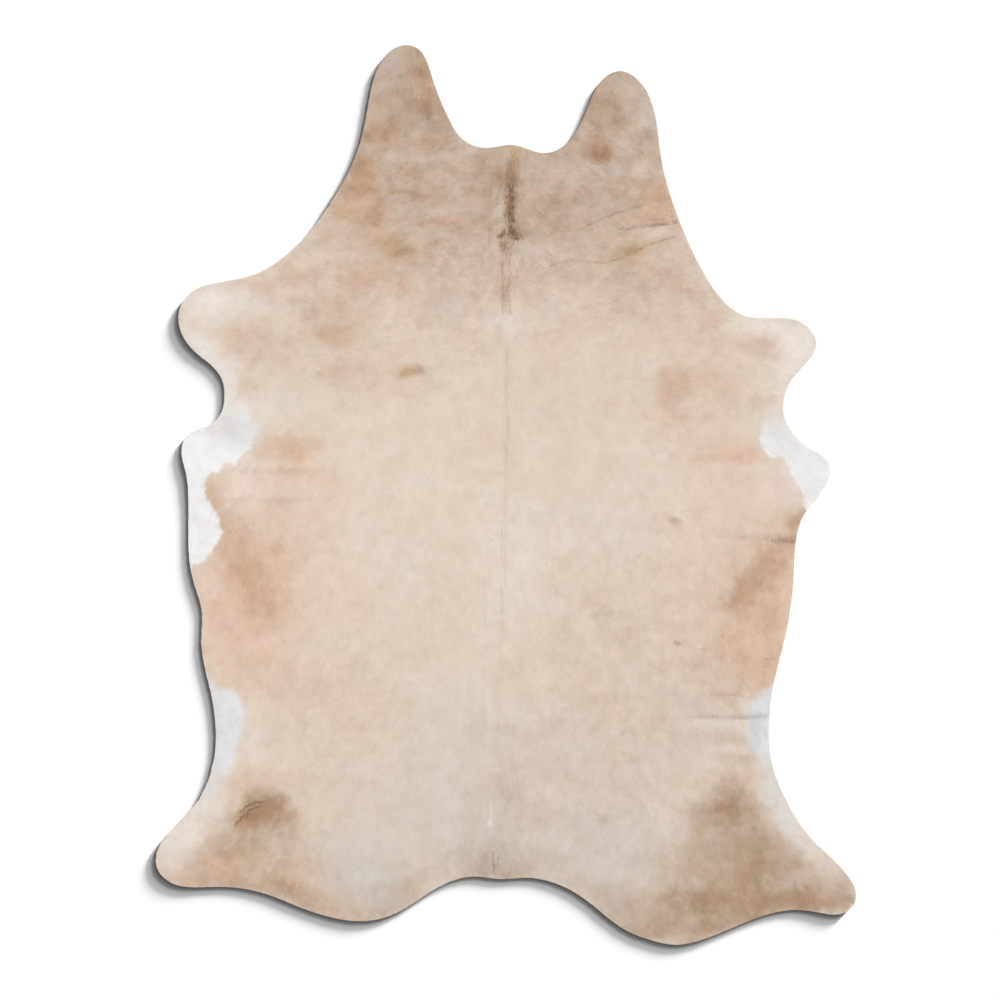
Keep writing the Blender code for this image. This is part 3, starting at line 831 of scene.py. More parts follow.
class Wire:
    """One socket of a material. Sums and products of wires add Math nodes, and node() adds any other node."""

    def __init__(self, tree, socket=None):
        self.tree = tree
        self.socket = socket

    def feeds(self, shader, name):
        self.tree.links.new(self.socket, shader.inputs[name])

    def node(self, kind, settings, links, output=0):
        """A new node, its settings made first, then its sockets set to values or linked to wires."""
        made = self.tree.nodes.new(kind)
        for name, value in settings.items():
            setattr(made, name, value)
        for name, value in links.items():
            if isinstance(value, Wire):
                self.tree.links.new(value.socket, made.inputs[name])
            else:
                made.inputs[name].default_value = value
        return Wire(self.tree, made.outputs[output])

    def math(self, operation, first, second):
        return self.node("ShaderNodeMath", {"operation": operation}, {0: first, 1: second})

    def __add__(self, other):
        return self.math("ADD", self, other)

    def __mul__(self, other):
        return self.math("MULTIPLY", self, other)

    __radd__ = __add__
    __rmul__ = __mul__

    def mix(self, share, first, second):
        """A colour between two others, which go into a Mix node's sockets 6 and 7 and come out of its 2."""
        return self.node("ShaderNodeMix", {"data_type": "RGBA"}, {0: share, 6: first, 7: second}, output=2)

    def stored(self, name, output=2):
        """What the mesh stores under that name: one value by default, or with output 1 a vector."""
        return self.node("ShaderNodeAttribute", {"attribute_name": name}, {}, output)

    def noise(self, scale, detail=3, roughness=0.6):
        """Soft noise through the piece's own space, about 0 to 1."""
        place = self.node("ShaderNodeTexCoord", {}, {}, output=3)
        return self.node("ShaderNodeTexNoise", {}, {
            "Vector": place, "Scale": scale, "Detail": detail, "Roughness": roughness})

    def brighter(self, colour, share):
        """A colour times a value."""
        return self.node("ShaderNodeVectorMath", {"operation": "SCALE"}, {0: colour, 3: share})


# What the studio light makes of a colour that reflects everything, so that colours are given as they look.
LIGHT_LEVEL = 1.06
SCREEN_GAMMA = 2.2


def colour(red, green, blue):
    """A surface colour that looks like this one, given from 0 to 255, in the studio light."""
    linear = (np.array([red, green, blue]) / 255) ** SCREEN_GAMMA / LIGHT_LEVEL
    return (*linear.tolist(), 1)


CREAM = colour(226, 210, 193)
SHADE_COLOURS = {
    "rose": colour(197, 172, 152),
    "taupe": colour(185, 159, 136),
    "salmon": colour(223, 192, 169),
    "tan": colour(206, 170, 144),
    "ochre": colour(200, 165, 126),
    "brown": colour(164, 128, 98),
    "russet": colour(178, 137, 114),
    "fair": colour(212, 197, 184),
    "ash": colour(207, 199, 190),
    "blush": colour(233, 208, 195),
    "pale": colour(237, 227, 217),
    "white": colour(241, 240, 239),
    "frost": colour(225, 224, 224),
    "grey": colour(199, 197, 197),
    "dark": colour(99, 68, 41),
}


def coat_colour(start):
    """The coat's colour: cream, with each shade laid over it by its stored share, times its stored tint."""
    made = CREAM
    for name in SHADES:
        made = start.mix(start.stored(name), made, SHADE_COLOURS[name])
    tint = start.stored("tint", 1)
    return start.node("ShaderNodeVectorMath", {"operation": "MULTIPLY"}, {0: made, 1: tint})


def new_finish(name, gloss):
    """A new material, a wire to start from, and its shader."""
    material = bpy.data.materials.new(name)
    material.use_nodes = True
    shader = material.node_tree.nodes["Principled BSDF"]
    shader.inputs["Specular IOR Level"].default_value = gloss
    return material, Wire(material.node_tree), shader


HAIR_GLOSS = 0.25
SHEEN_PATCHES = 60
SHEEN_SPREAD = 0.14


def coat_finish(name, lightness, roughness):
    """Hair in its stored shades and tint, a little uneven in its sheen."""
    material, start, shader = new_finish(name, HAIR_GLOSS)
    start.brighter(coat_colour(start), lightness).feeds(shader, "Base Color")
    sheen = start.noise(SHEEN_PATCHES, detail=2) * SHEEN_SPREAD + (roughness - SHEEN_SPREAD / 2)
    sheen.feeds(shader, "Roughness")
    return material


LEATHER_GLOSS = 0.2
LEATHER_PATCHES = 9
LEATHER_DARKEST, LEATHER_CLOUDS, LEATHER_GRAIN = 0.78, 0.26, 0.18
LEATHER_MATT, GRAIN_MATT = 0.82, 0.16
NAP_HEIGHT = 0.6 * MM


def leather_finish(name, base, grain_scale, bump):
    """Bare leather: fibrous and matt, a little uneven in colour."""
    material, start, shader = new_finish(name, LEATHER_GLOSS)
    grain = start.noise(grain_scale, detail=5, roughness=0.7)
    shade = LEATHER_DARKEST + start.noise(LEATHER_PATCHES, detail=4) * LEATHER_CLOUDS + grain * LEATHER_GRAIN
    start.brighter(base[:3], shade).feeds(shader, "Base Color")
    (LEATHER_MATT + grain * GRAIN_MATT).feeds(shader, "Roughness")
    nap = start.node("ShaderNodeBump", {}, {"Strength": bump, "Distance": NAP_HEIGHT, "Height": grain})
    nap.feeds(shader, "Normal")
    return material


def store(mesh, shares, tint):
    """Keeps the share of each shade and the tint of each point in the mesh."""
    for name, share in shares.items():
        mesh.attributes.new(name, "FLOAT", "POINT").data.foreach_set("value", share.astype(np.float32))
    tints = mesh.attributes.new("tint", "FLOAT_VECTOR", "POINT")
    tints.data.foreach_set("vector", tint.astype(np.float32).ravel())


def dress_skin():
    """Gives the skin its fur colours and its three finishes."""
    mesh = skin.data
    places = points_of(mesh)[:, :2].astype(float)
    shares = coat_shades(places)
    store(mesh, shares, mottling(places, shares)[1])
    mesh.materials.append(coat_finish("fur", lightness=0.93, roughness=0.8))
    mesh.materials.append(leather_finish("cut leather", colour(176, 150, 122), grain_scale=900, bump=0.4))
    mesh.materials.append(leather_finish("suede", colour(198, 176, 150), grain_scale=520, bump=0.6))


dress_skin()
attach(skin, "root")
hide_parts("cowhide")

# The hair
# Short, coarse cow hair, 15 to 20 mm long, lies flat and overlaps like shingles. A real hide has millions of
# hairs, so here each blade is a small lock: a slim leaf that leaves the skin, bends over and lies down.

LOCK_SPACING = 2.6 * MM
LOCK_LENGTH = 16 * MM
LOCK_WIDTH = 1.8 * MM
LENGTH_SPREAD = 0.25
WIDTH_SPREAD = 0.3
LOCK_WANDER = 9
# A lock that reaches further than this over the cut edge is trimmed, but not below this share of its length.
OVER_EDGE = 1.2 * MM
SHORTEST_TRIM = 0.1
ROOT_INSET = 0.4 * MM
ROOT_SINK = 0.15 * MM
# A lock bends at this share of its length, turns on over its bend, rolls by this share of its width, and lies
# this far under the top of the coat.
BEND_AT = 0.42
BEND_WANDER = 0.8
ROLL = 0.05
DROPS = (0.05, 0.3)
BEND_DROP = 0.12 * MM
SHOWN_AT = 0.7
OWN_TONE = 0.35
# How light a lock is at its root, on its two sides and at its tip, the root darker with painted shade under
# the locks that lie over it, and how far its normals turn upwards.
PAINTED_SHADE_ALONG_LOCK = (0.95, 1.0, 1.0, 1.01)
SLEEK = 0.6
BAND_ENDS = (-0.42, 0.34)
BANDS = ("hind", "middle", "front")
COAT_PARTING = 505


def lock_roots():
    """Roots on a jittered grid all over the hide."""
    columns, rows = ((hide_high - hide_low) / LOCK_SPACING).astype(int)
    column, row = np.meshgrid(np.arange(columns), np.arange(rows))
    roots = np.stack([column, row], -1).reshape(-1, 2) * LOCK_SPACING + hide_low
    roots = roots + np.random.default_rng(51).uniform(0, 1, roots.shape) * LOCK_SPACING
    return roots[read(depth, roots) > ROOT_INSET]


def seen_places(roots, lengths):
    """Where each lock shows, which is near its tip, as its neighbours lie over its root."""
    return roots + read(heading, roots) * (SHOWN_AT * lengths)[:, None]


def lay_locks(roots, ways, lengths, widths, wander, lift, seed):
    """Points and triangles of leaf-shaped locks, four points and two triangles each."""
    rng = np.random.default_rng(seed)
    wander = np.radians(wander) * rng.normal(size=len(roots))
    way = turned_by(ways, wander)
    tip = roots + way * lengths[:, None]
    over = -read(depth, tip)
    held = read(depth, roots)
    trimmed = np.clip((held + OVER_EDGE) / np.maximum(held + over, TINY), SHORTEST_TRIM, 1)
    lengths = lengths * np.where(over > OVER_EDGE, trimmed, 1)
    middle = roots + way * (BEND_AT * lengths)[:, None]
    bent = unit(turned_by(ways + read(heading, middle) - read(heading, roots), BEND_WANDER * wander))
    tip = middle + bent * ((1 - BEND_AT) * lengths)[:, None]
    side = leftward(way) * (0.5 * widths)[:, None]
    roll = ROLL * rng.normal(size=len(roots)) * widths
    low = read(fur_top, roots) - ROOT_SINK
    drop = rng.uniform(*DROPS, len(roots)) * MM
    high = read(hair_top, middle) - drop - BEND_DROP + lift
    end = read(hair_top, tip) - drop + lift
    points = np.stack([
        np.column_stack([roots, low]),
        np.column_stack([middle + side, high + roll]),
        np.column_stack([middle - side, high - roll]),
        np.column_stack([tip, end]),
    ], axis=1)
    first = 4 * np.arange(len(roots))[:, None]
    faces = np.concatenate([first + [0, 2, 1], first + [1, 2, 3]], axis=1).reshape(-1, 3)
    return points.reshape(-1, 3), faces


FLAT_MARGIN = 0.002


def flat_map(mesh, points):
    """A map of the piece as seen from above."""
    flat = points[:, :2]
    spread = (flat - flat.min(0)) / (flat.max(0) - flat.min(0)) * (1 - 2 * FLAT_MARGIN) + FLAT_MARGIN
    corner = np.empty(len(mesh.loops), np.int32)
    mesh.loops.foreach_get("vertex_index", corner)
    mesh.uv_layers.new(name="OFBake").data.foreach_set("uv", spread[corner].astype(np.float32).ravel())


def sleek_normals(mesh, points, faces):
    """Turns the locks' normals most of the way up, as hair that lies smoothly shades like one surface."""
    normal = unit(upright(points, faces))
    root_half, tip_half = normal[0::2], normal[1::2]
    both = root_half + tip_half
    each = unit(np.stack([root_half, both, both, tip_half], axis=1).reshape(-1, 3))
    each = unit((1 - SLEEK) * each + SLEEK * np.array([0, 0, 1]))
    mesh.normals_split_custom_set_from_vertices(each.astype(np.float32))


def hair_piece(name, points, faces, shares, tint, finish):
    """One piece of coat: its mesh, shades, tint, map and finish. Each lock has painted shade at its root."""
    mesh = joined_mesh(name, points, faces)
    sleek_normals(mesh, points, faces)
    # Painted shade at each lock's root, where the locks lie over each other.
    along = np.tile(PAINTED_SHADE_ALONG_LOCK, len(tint))
    store(mesh, {name: share.repeat(4) for name, share in shares.items()}, tint.repeat(4, 0) * along[:, None])
    flat_map(mesh, points)
    mesh.materials.append(finish)
    piece = add_object(name, mesh)
    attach(piece, "root")
    return piece


hair_finish = coat_finish("hair", lightness=1.0, roughness=0.62)


def make_coat():
    """The whole coat, in a left and a right piece for each of three bands along the hide."""
    roots = lock_roots()
    rng = np.random.default_rng(61)
    lengths = LOCK_LENGTH * (1 + LENGTH_SPREAD * rng.uniform(-1, 1, len(roots)))
    widths = LOCK_WIDTH * (1 + WIDTH_SPREAD * rng.uniform(-1, 1, len(roots)))
    seen = seen_places(roots, lengths)
    shares = coat_shades(seen)
    strength, tint = mottling(seen, shares)
    own_tone = strength * OWN_TONE * rng.normal(size=len(roots))
    tint = tint + own_tone[:, None]
    band = np.searchsorted(BAND_ENDS, roots[:, 1])
    right = roots[:, 0] > on_hide(COAT_PARTING, 0)[0]
    made = []
    for k, band_name in enumerate(BANDS):
        for on_right, side_name in ((False, "left"), (True, "right")):
            mine = (band == k) & (right == on_right)
            ways = read(heading, roots[mine])
            points, faces = lay_locks(
                roots[mine], ways, lengths[mine], widths[mine], LOCK_WANDER, lift=0, seed=70 + k)
            my_shares = {name: share[mine] for name, share in shares.items()}
            name = f"coat_{band_name}_{side_name}"
            made.append(hair_piece(name, points, faces, my_shares, tint[mine], hair_finish))
    return made


coat = make_coat()

STRAYS = 32000
STRAY_LENGTH = 13 * MM
STRAY_LENGTH_RANGE = (0.5, 1.4)
STRAY_WIDTH = 2.6 * MM
STRAY_WIDTH_RANGE = (0.6, 1.3)
STRAY_CROWDING = 1.5
STRAY_WANDER = 16
STRAY_TONE = 1.8
STRAY_LIFT = 0.2 * MM
TOP_INSET = 2 * MM


def make_strays():
    """Single locks that lie on top, lighter or darker than the coat, most of them where it is mottled."""
    rng = np.random.default_rng(65)
    roots = rng.uniform(0, 1, (STRAYS, 2)) * (hide_high - hide_low) + hide_low
    roots = roots[read(depth, roots) > TOP_INSET]
    shares = coat_shades(roots)
    strength, tint = mottling(roots, shares)
    kept = rng.uniform(0, 1, len(roots)) < (strength / FULL_MOTTLE) ** STRAY_CROWDING
    roots, tint, strength = roots[kept], tint[kept], strength[kept]
    lengths = STRAY_LENGTH * rng.uniform(*STRAY_LENGTH_RANGE, len(roots))
    widths = STRAY_WIDTH * rng.uniform(*STRAY_WIDTH_RANGE, len(roots))
    ways = read(heading, roots)
    points, faces = lay_locks(roots, ways, lengths, widths, STRAY_WANDER, STRAY_LIFT, seed=66)
    tint = tint + (strength * STRAY_TONE * rng.normal(size=len(roots)))[:, None]
    shares = {name: share[kept] for name, share in shares.items()}
    return hair_piece("stray_hairs", points, faces, shares, tint, hair_finish)


strays = make_strays()

# The dark hairs
# A stripe of longer, dark brown hair runs down the nape and ends in a small spreading tuft. Fine rows of
# hairs, most of them dark, also mark the spine, the creases and the left hind leg. Along the creases they are
# partly painted shade in the folds.

Stroke = namedtuple("Stroke", "shade path count spread length width wander strength turn", defaults=[0])

# Each row is a shade and its strokes. A stroke is a band of single hairs with their roots along a path of
# photo pixels: their count, their spread to the sides in pixels, length and width in millimetres, wander in
# degrees and strength. They point along the path, or turned from it by turn degrees.
STROKES = [Stroke(shade, *strand) for shade, *strands in (
    # The stripe: a brown haze down the nape, its dark core, and the hairs that stray from its right side
    ("brown", (((513, 147), (515, 160)), 60, 3.4, 12, 1.0, 8, 0.7),),
    ("dark", (((513, 150), (516, 159)), 16, 2.4, 9, 0.9, 8, 0.35),),
    ("brown", (((512, 158), (511, 176)), 110, 3.6, 14, 1.0, 10, 0.8),),
    ("dark", (((506, 158), (508, 168)), 8, 1.6, 8, 0.9, 10, 0.4),
     (((510, 160), (511, 176)), 34, 1.8, 12, 0.9, 9, 0.4),
     (((501, 167), (503, 176)), 10, 1.0, 9, 0.9, 8, 0.4)),
    ("brown", (((498, 172), (500, 186)), 50, 3.6, 14, 1.0, 12, 0.6),),
    ("dark", (((497, 176), (500, 180)), 8, 1.6, 8, 0.9, 14, 0.35),
     (((502, 176), (503, 184)), 8, 1.2, 9, 0.9, 10, 0.35),
     (((512, 170), (512, 184)), 130, 3.6, 12, 0.9, 16, 0.5),
     (((514, 172), (515, 184)), 40, 2.4, 10, 0.9, 18, 0.7),
     (((510.5, 182), (511, 198)), 130, 2.6, 12, 0.9, 14, 0.75),
     (((511.5, 184), (512, 196)), 60, 1.2, 11, 0.9, 10, 0.95),
     (((509.5, 194), (511, 214)), 170, 2.8, 12, 0.9, 14, 0.7),
     (((511, 198), (512.5, 220)), 90, 1.6, 12, 0.9, 12, 0.9),
     (((508, 208), (511, 232)), 150, 2.6, 12, 0.9, 14, 0.65),
     (((511, 212), (513, 230)), 80, 1.6, 12, 0.9, 14, 0.9),
     (((515.5, 180), (516, 220)), 60, 1.2, 9, 0.8, 14, 0.5, 32)),
    ("tan", (((508, 184), (510, 230)), 50, 2.4, 10, 0.8, 16, 0.7),),
    ("fair", (((513, 186), (514, 226)), 26, 2.0, 9, 0.7, 16, 0.6),),
    # Its tuft, in two lobes, and the strands that close below it
    ("dark", (((505.5, 229), (501, 236)), 60, 1.0, 8, 0.9, 14, 0.85),
     (((504, 233.5), (499, 236.5)), 34, 0.9, 8, 0.9, 12, 0.75),
     (((509, 234), (502, 235.5)), 26, 0.8, 7, 0.9, 12, 0.65),
     (((511, 224), (513, 230)), 60, 1.8, 9, 0.9, 16, 0.85),
     (((508, 230), (514, 232)), 70, 1.4, 8, 0.9, 22, 0.9),
     (((509, 232), (515, 238)), 110, 1.8, 9, 0.9, 24, 0.85),
     (((515, 232), (519, 238)), 60, 1.8, 8, 0.9, 24, 0.8),
     (((518, 233), (524, 237)), 20, 1.4, 8, 0.8, 16, 0.5),
     (((514, 219), (517, 228)), 30, 1.2, 8, 0.8, 16, 0.55, 20)),
    ("brown", (((505, 238), (505, 252)), 90, 3.2, 11, 1.0, 12, 0.75),),
    ("dark", (((506, 238), (505, 250)), 60, 2.2, 9, 0.9, 12, 0.5),
     (((514, 240), (509, 250)), 36, 1.4, 10, 0.9, 12, 0.5),
     (((499.5, 240), (502.5, 251)), 22, 0.8, 10, 0.8, 8, 0.45),
     (((508, 246), (507.5, 256)), 14, 1.6, 9, 0.8, 8, 0.4)),
    ("brown", (((504, 252), (505, 275)), 40, 3.0, 14, 0.9, 6, 0.45),),
    ("dark", (((504.5, 273), (504.5, 279)), 10, 0.5, 8, 0.7, 6, 0.7),),
    ("brown", (((502.4, 250), (502.6, 312)), 80, 0.6, 14, 0.8, 4, 0.8),
     (((509.6, 250), (510, 312)), 70, 0.6, 14, 0.8, 4, 0.7),
     (((503, 284), (504, 300)), 80, 3.2, 12, 0.9, 5, 0.6)),
    ("dark", (((503, 286), (506, 298)), 24, 2.0, 9, 0.8, 6, 0.45),),
    ("brown", (((497, 250), (495, 300)), 30, 1.6, 14, 0.7, 5, 0.35),),
    # The part of the hair along the spine, which wanders off to the left lower down
    ("tan", (((506, 344), (506, 404), (509, 430)), 60, 0.8, 14, 0.7, 3, 0.35),
     (((505.6, 440), (505, 510)), 40, 0.7, 14, 0.7, 3, 0.28),
     (((502, 518), (502, 558)), 50, 0.4, 14, 0.7, 2, 0.4)),
    ("pale", (((503.6, 516), (503.8, 556)), 70, 0.5, 14, 0.8, 2, 0.8),),
    ("tan", (((505.4, 524), (505.4, 584)), 60, 0.4, 14, 0.7, 2, 0.4),
     (((501.6, 583), (501.6, 624)), 50, 0.4, 14, 0.7, 2, 0.4),
     (((484.8, 576), (485, 640), (485.5, 740)), 100, 0.6, 14, 0.7, 2, 0.35),
     (((464.8, 600), (465, 632)), 20, 1.6, 12, 0.7, 3, 0.4)),
    ("brown", (((497.6, 690), (497.6, 730)), 34, 1.1, 14, 0.7, 3, 0.35),
     (((504, 756), (507, 798)), 60, 3.2, 14, 0.8, 3, 0.3)),
    # Short rows of hair that stand out on both sides of it, rising outwards
    ("brown", (((487, 262), (468, 255)), 18, 1.2, 12, 0.8, 8, 0.35),
     (((480, 282), (455, 273)), 20, 1.2, 12, 0.8, 8, 0.35),
     (((482, 301), (458, 292)), 20, 1.4, 12, 0.8, 8, 0.3),
     (((476, 318), (448, 311)), 20, 1.2, 12, 0.8, 8, 0.3),
     (((480, 333), (460, 326)), 20, 1.2, 12, 0.8, 8, 0.35),
     (((487, 351), (445, 349.5)), 30, 1.0, 13, 0.8, 7, 0.35),
     (((486, 367), (464, 362)), 14, 1.2, 12, 0.8, 7, 0.25),
     (((522, 301), (548, 291)), 20, 1.2, 12, 0.8, 8, 0.3),
     (((528, 319), (556, 308)), 20, 1.4, 12, 0.8, 8, 0.3)),
    ("russet", (((545, 322), (566, 320)), 30, 1.8, 10, 0.9, 9, 0.35),),
    ("brown", (((530, 336), (562, 329)), 30, 1.2, 12, 0.8, 8, 0.35),
     (((520, 353), (552, 348)), 20, 1.2, 12, 0.8, 7, 0.28),
     (((524, 373), (548, 367)), 12, 1.2, 12, 0.8, 7, 0.22)),
    # The long strands on both sides of the stripe
    ("brown", (((491, 180), (489.5, 215), (489, 262)), 44, 0.8, 16, 0.7, 5, 0.5),),
    ("dark", (((489.5, 222), (489, 254)), 12, 0.7, 12, 0.7, 5, 0.3),),
    ("brown", (((497, 190), (497, 232)), 30, 1.2, 14, 0.7, 6, 0.5),),
    ("dark", (((499, 188), (498, 204)), 12, 0.8, 10, 0.8, 8, 0.4),),
    ("pale", (((500, 192), (500.5, 232)), 40, 1.2, 14, 0.8, 5, 0.45),
     (((493.5, 190), (493.5, 240)), 40, 1.4, 14, 0.8, 5, 0.35)),
    ("brown", (((520, 178), (530, 180)), 16, 1.0, 12, 0.7, 8, 0.5),
     (((515, 222.5), (526, 223.5)), 14, 0.6, 12, 0.7, 6, 0.6),
     (((519, 190), (524, 195)), 12, 1.2, 10, 0.7, 10, 0.5),
     (((529, 180), (537, 183)), 8, 0.6, 10, 0.7, 6, 0.4)),
    ("pale", (((522, 190), (523, 236)), 30, 2.4, 16, 0.8, 7, 0.3),),
    # The fine dark lines of the neck's creases, dark hairs that partly paint the shade in their folds
    ("brown",
     (NECK_UPPER, 130, 0.5, 9, 0.9, 7, 0.75),),
    ("dark",
     (NECK_UPPER, 24, 0.4, 6, 0.7, 10, 0.4),),
    ("brown", (NECK_MIDDLE, 90, 0.8, 8, 0.9, 10, 0.8),),
    ("dark", (((679, 221.4), (667, 224), (650, 226)), 50, 0.7, 7, 0.8, 10, 0.5),
     (((679, 221.8), (668, 223.5), (655, 225.5)), 60, 1.3, 8, 0.9, 10, 0.55)),
    ("brown", (((678, 219), (665, 219), (652, 219.5)), 40, 1.0, 8, 0.9, 10, 0.6),
     (((648, 226), (634, 226.5), (622, 228)), 40, 1.3, 8, 0.9, 14, 0.5),
     (((646, 196), (647, 224)), 60, 5.0, 13, 0.9, 8, 0.3),
     (((660, 200), (662, 214)), 50, 4.0, 12, 0.9, 8, 0.3),
     (NECK_LOWER[:4], 80, 0.6, 9, 0.9, 7, 0.8),
     (NECK_LOWER[4:], 140, 0.6, 9, 0.8, 7, 0.7),
     (NECK_LEFT, 60, 1.0, 8, 0.8, 8, 0.5),
     (((455, 159), (470, 161), (482, 162)), 30, 1.4, 9, 0.7, 6, 0.5)),
    ("dark", (((470, 157), (484, 158)), 14, 2.0, 9, 0.7, 8, 0.3),
     (((474, 180), (485, 181)), 12, 2.0, 8, 0.8, 10, 0.25)),
    ("brown", (((596, 143), (597, 160)), 60, 4.0, 9, 1.0, 12, 0.5),),
    ("dark", (((595, 145), (596, 158)), 24, 2.8, 7, 0.9, 14, 0.35),
     (((606, 144), (607, 159)), 34, 2.6, 7, 0.9, 14, 0.4)),
    ("fair", (((601, 146), (601, 162)), 26, 3.6, 7, 0.8, 14, 0.45),),
    ("brown", (((605, 144), (606, 158)), 70, 2.6, 9, 1.2, 14, 0.7),
     (((593, 146), (594, 156)), 50, 2.2, 9, 1.2, 14, 0.5)),
    # The left hind leg: arcs of dark hair, crossed by shorter ones
    ("dark", (((265, 802.5), (258, 802), (252, 803.5), (247, 806), (242, 811)), 90, 0.7, 11, 0.9, 8, 0.85),
     (((263, 805), (256, 807), (249, 811), (242, 817), (236, 824)), 80, 0.8, 11, 0.9, 9, 0.8),
     (((258, 804), (250, 808), (244, 813)), 50, 1.6, 9, 0.8, 12, 0.6),
     (((253, 813), (247, 816), (241, 819)), 44, 0.9, 8, 0.9, 12, 0.8),
     (((259, 805), (256, 815)), 22, 0.9, 7, 0.9, 12, 0.6)),
    ("brown", (((262, 806), (240, 820)), 70, 3.5, 10, 1.0, 12, 0.7),),
    # The creases of the flanks, whose dark hairs partly paint the shade in their folds, and the tail
    ("dark", (((796, 538.5), (779, 538.5)), 150, 2.0, 9, 0.8, 12, 0.5, 90),),
    ("russet", (((796, 538.5), (770, 538.5)), 120, 2.2, 9, 0.9, 12, 0.7, 90),),
    ("dark", (((784, 538), (764, 537.5)), 70, 1.7, 9, 0.8, 12, 0.42, 90),),
    ("brown", (((766, 537.5), (735, 536.5), (702, 537)), 60, 0.7, 10, 0.7, 6, 0.3),
     (((764, 537.5), (734, 537)), 30, 1.2, 9, 0.7, 12, 0.35, 90),
     (((770, 716), (757, 717), (746, 718), (706, 717.4)), 150, 0.7, 9, 0.8, 7, 0.85),
     (((706, 717.4), (663, 718)), 30, 0.6, 8, 0.7, 8, 0.4),
     (((741, 694.5), (729, 695.5), (702, 695)), 60, 0.5, 9, 0.8, 7, 0.6),
     (((776, 658.5), (767, 658.8)), 16, 0.4, 9, 0.8, 6, 0.6),
     (((716, 648.6), (698, 649.4)), 24, 0.5, 9, 0.8, 6, 0.4),
     (((698, 649.4), (689, 653)), 12, 0.5, 8, 0.8, 6, 0.4),
     (((712, 683), (687, 683.4)), 24, 0.5, 9, 0.7, 6, 0.4),
     (((702, 695), (662, 694.4)), 30, 0.5, 9, 0.7, 6, 0.4),
     (((660, 629), (622, 629.4)), 26, 0.5, 9, 0.7, 6, 0.35)),
    ("salmon", (((577, 271), (567, 273), (556, 275.4)), 26, 0.8, 7, 0.8, 10, 0.6),
     (((619, 301), (602, 304)), 22, 0.8, 7, 0.8, 10, 0.5)),
    ("tan", (FLANK_LEFT, 90, 1.0, 8, 0.9, 8, 0.6),),
    ("dark", (((493, 844), (493.4, 872)), 40, 0.6, 14, 0.8, 4, 0.7),
     (((498, 850), (498, 866)), 16, 0.5, 12, 0.8, 4, 0.45),
     (((509, 856), (510, 873)), 14, 0.5, 12, 0.8, 4, 0.4)),
    ("fair", (((503, 846), (504, 870)), 20, 2.0, 14, 0.7, 4, 0.5),),
    ("brown", (((484, 836), (486, 866)), 90, 5.0, 14, 0.8, 4, 0.42),
     (((501, 838), (504, 858)), 60, 4.5, 14, 0.8, 4, 0.36)),
    ("dark", (((480, 856), (512, 858)), 40, 6.0, 18, 0.7, 8, 0.3, -90),),
) for strand in strands]
HAIR_LIFT = 0.25 * MM
HAIR_TONE = 0.06
HAIR_SIZE_RANGE = (0.7, 1.2)
HAIR_STRENGTH_RANGE = (0.6, 1.15)
ALONG_SPREAD = 0.6


def make_strokes():
    """All strokes in one piece. They are laid in order, as they share one row of random draws."""
    rng = np.random.default_rng(81)
    all_points, all_faces, all_tints, all_shares = [], [], [], []
    start = 0
    for stroke in STROKES:
        knots = path_on_hide(stroke.path)
        t = rng.uniform(0, len(knots) - 1, stroke.count)
        k = np.minimum(t.astype(int), len(knots) - 2)
        runs = knots[k + 1] - knots[k]
        aside = rng.normal(size=(stroke.count, 2)) * stroke.spread * PIXEL * [1, ALONG_SPREAD]
        roots = knots[k] + (t - k)[:, None] * runs
        ways = unit(runs)
        roots = roots + aside[:, :1] * leftward(ways) + aside[:, 1:] * ways
        held = read(depth, roots) > TOP_INSET
        roots = roots[held]
        ways = turned_by(ways[held], np.radians(stroke.turn))
        count = len(roots)
        lengths = stroke.length * MM * rng.uniform(*HAIR_SIZE_RANGE, count)
        widths = stroke.width * MM * rng.uniform(*HAIR_SIZE_RANGE, count)
        points, faces = lay_locks(roots, ways, lengths, widths, stroke.wander, HAIR_LIFT, 90 + start)
        shares = coat_shades(roots)
        tint = mottling(roots, shares)[1] + HAIR_TONE * rng.normal(size=(count, 1))
        mine = (stroke.strength * rng.uniform(*HAIR_STRENGTH_RANGE, count)).clip(0, 1)
        shares[stroke.shade] = 1 - (1 - shares[stroke.shade]) * (1 - mine)
        all_points.append(points)
        all_faces.append(faces + 4 * start)
        all_tints.append(tint)
        all_shares.append(shares)
        start += count
    shares = {name: np.concatenate([s[name] for s in all_shares]) for name in SHADES}
    return hair_piece("dark_hairs_and_crease_shade", np.concatenate(all_points), np.concatenate(all_faces), shares,
                      np.concatenate(all_tints), hair_finish)


dark_hairs_and_crease_shade = make_strokes()

# The studio
# The hide lies on a plain white floor, seen from straight above, in soft even light. A low lamp on the right
# rakes the floor alone, so that the thin hide casts a soft shadow to the left and below it.

FLOOR_SIZE = 160.0
FRAME_WIDTH = PHOTO_SIZE * PIXEL
CAMERA_LENS = 85
SENSOR = 36
COAT_TOP = 4.6 * MM
FLOOR_DROP = 0.05 * MM
FLOOR_LEVEL = 0.9
FLOOR_MATT = 0.9
FILL = 0.1


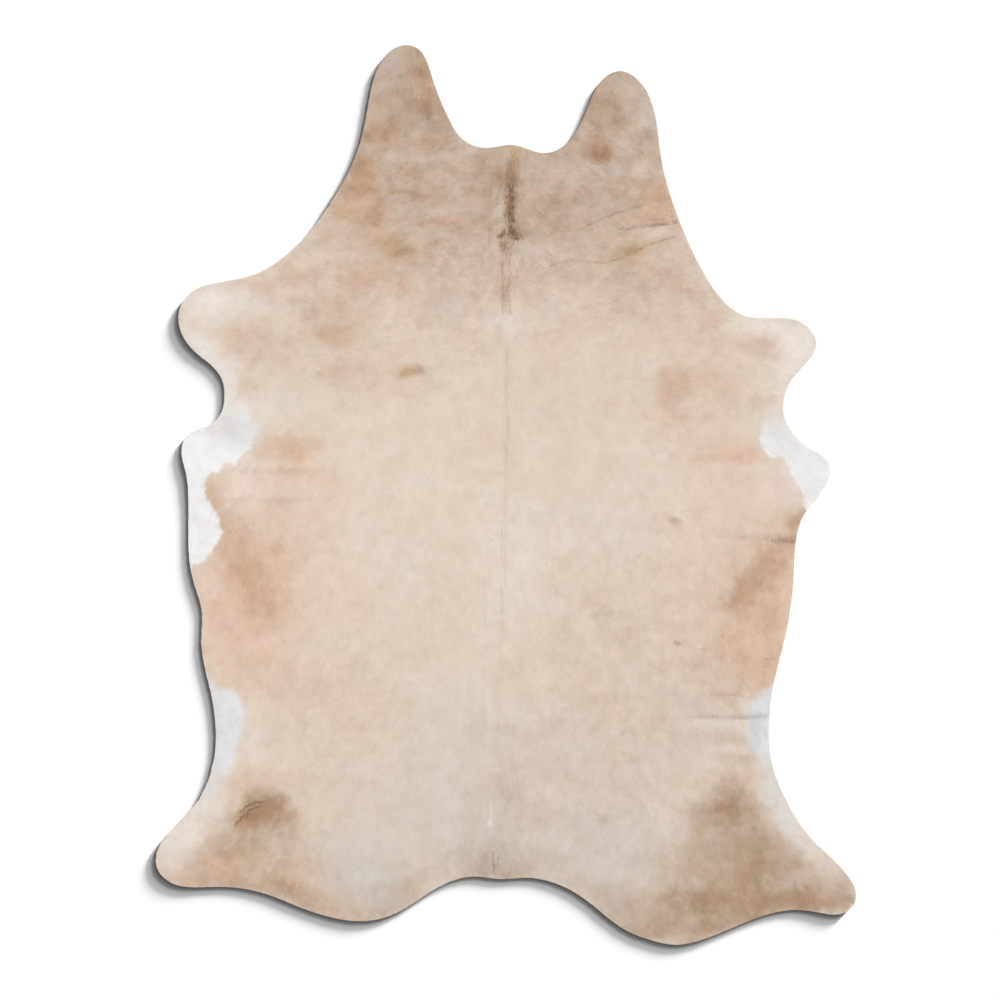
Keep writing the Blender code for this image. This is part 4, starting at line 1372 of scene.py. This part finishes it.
def make_floor():
    """A plain floor, a hair's breadth under the hide."""
    half = FLOOR_SIZE / 2
    corners = np.array([(x, y, -FLOOR_DROP) for x in (-half, half) for y in (-half, half)])
    mesh = joined_mesh("floor", corners, np.array([(0, 2, 3), (0, 3, 1)]), smooth=False)
    material, _, shader = new_finish("white floor", gloss=0.1)
    shader.inputs["Base Color"].default_value = (FLOOR_LEVEL, FLOOR_LEVEL, FLOOR_LEVEL, 1)
    shader.inputs["Roughness"].default_value = FLOOR_MATT
    mesh.materials.append(material)
    floor = add_object("floor", mesh)
    return floor


floor = make_floor()
hide_pieces = [skin, *coat, strays, dark_hairs_and_crease_shade]

# Distant lamps: the strength; in degrees, the height above the horizon, the side, counted from the right
# towards the neck, and the softness; and what it lights. Everything still casts its shadow.
LAMPS = {
    "overhead": (2.13, 90, 0, 110, hide_pieces),
    "key": (1.3, 48, 43, 40, hide_pieces),
    "low rake": (18.9, 5.85, 48, 4.7, [floor]),
    "middle rake": (4.4, 13.5, 48, 11, [floor]),
    "high rake": (0.56, 30, 48, 24, [floor]),
}
for name, (strength, height, side, softness, pieces) in LAMPS.items():
    sun = bpy.data.lights.new(name, "SUN")
    sun.energy = strength
    sun.angle = np.radians(softness)
    lamp = add_object(name, sun)
    height, side = np.radians([height, side])
    towards = Vector((np.cos(height) * np.cos(side), np.cos(height) * np.sin(side), np.sin(height)))
    lamp.rotation_euler = towards.to_track_quat("Z", "Y").to_euler()
    lit = bpy.data.collections.new(f"lit by the {name}")
    for piece in pieces:
        lit.objects.link(piece)
    lamp.light_linking.receiver_collection = lit
world = bpy.data.worlds.new("studio")
world.use_nodes = True
world.node_tree.nodes["Background"].inputs["Color"].default_value = (1, 1, 1, 1)
world.node_tree.nodes["Background"].inputs["Strength"].default_value = FILL
bpy.context.scene.world = world
bpy.context.scene.view_settings.view_transform = "Standard"

camera_data = bpy.data.cameras.new("camera")
camera_data.lens = CAMERA_LENS
camera_data.sensor_width = SENSOR
camera = add_object("camera", camera_data)
frame_middle = on_hide(PHOTO_SIZE / 2, PHOTO_SIZE / 2)
camera.location = (frame_middle[0], frame_middle[1], COAT_TOP + FRAME_WIDTH / 2 / (SENSOR / 2 / CAMERA_LENS))
bpy.context.scene.camera = camera
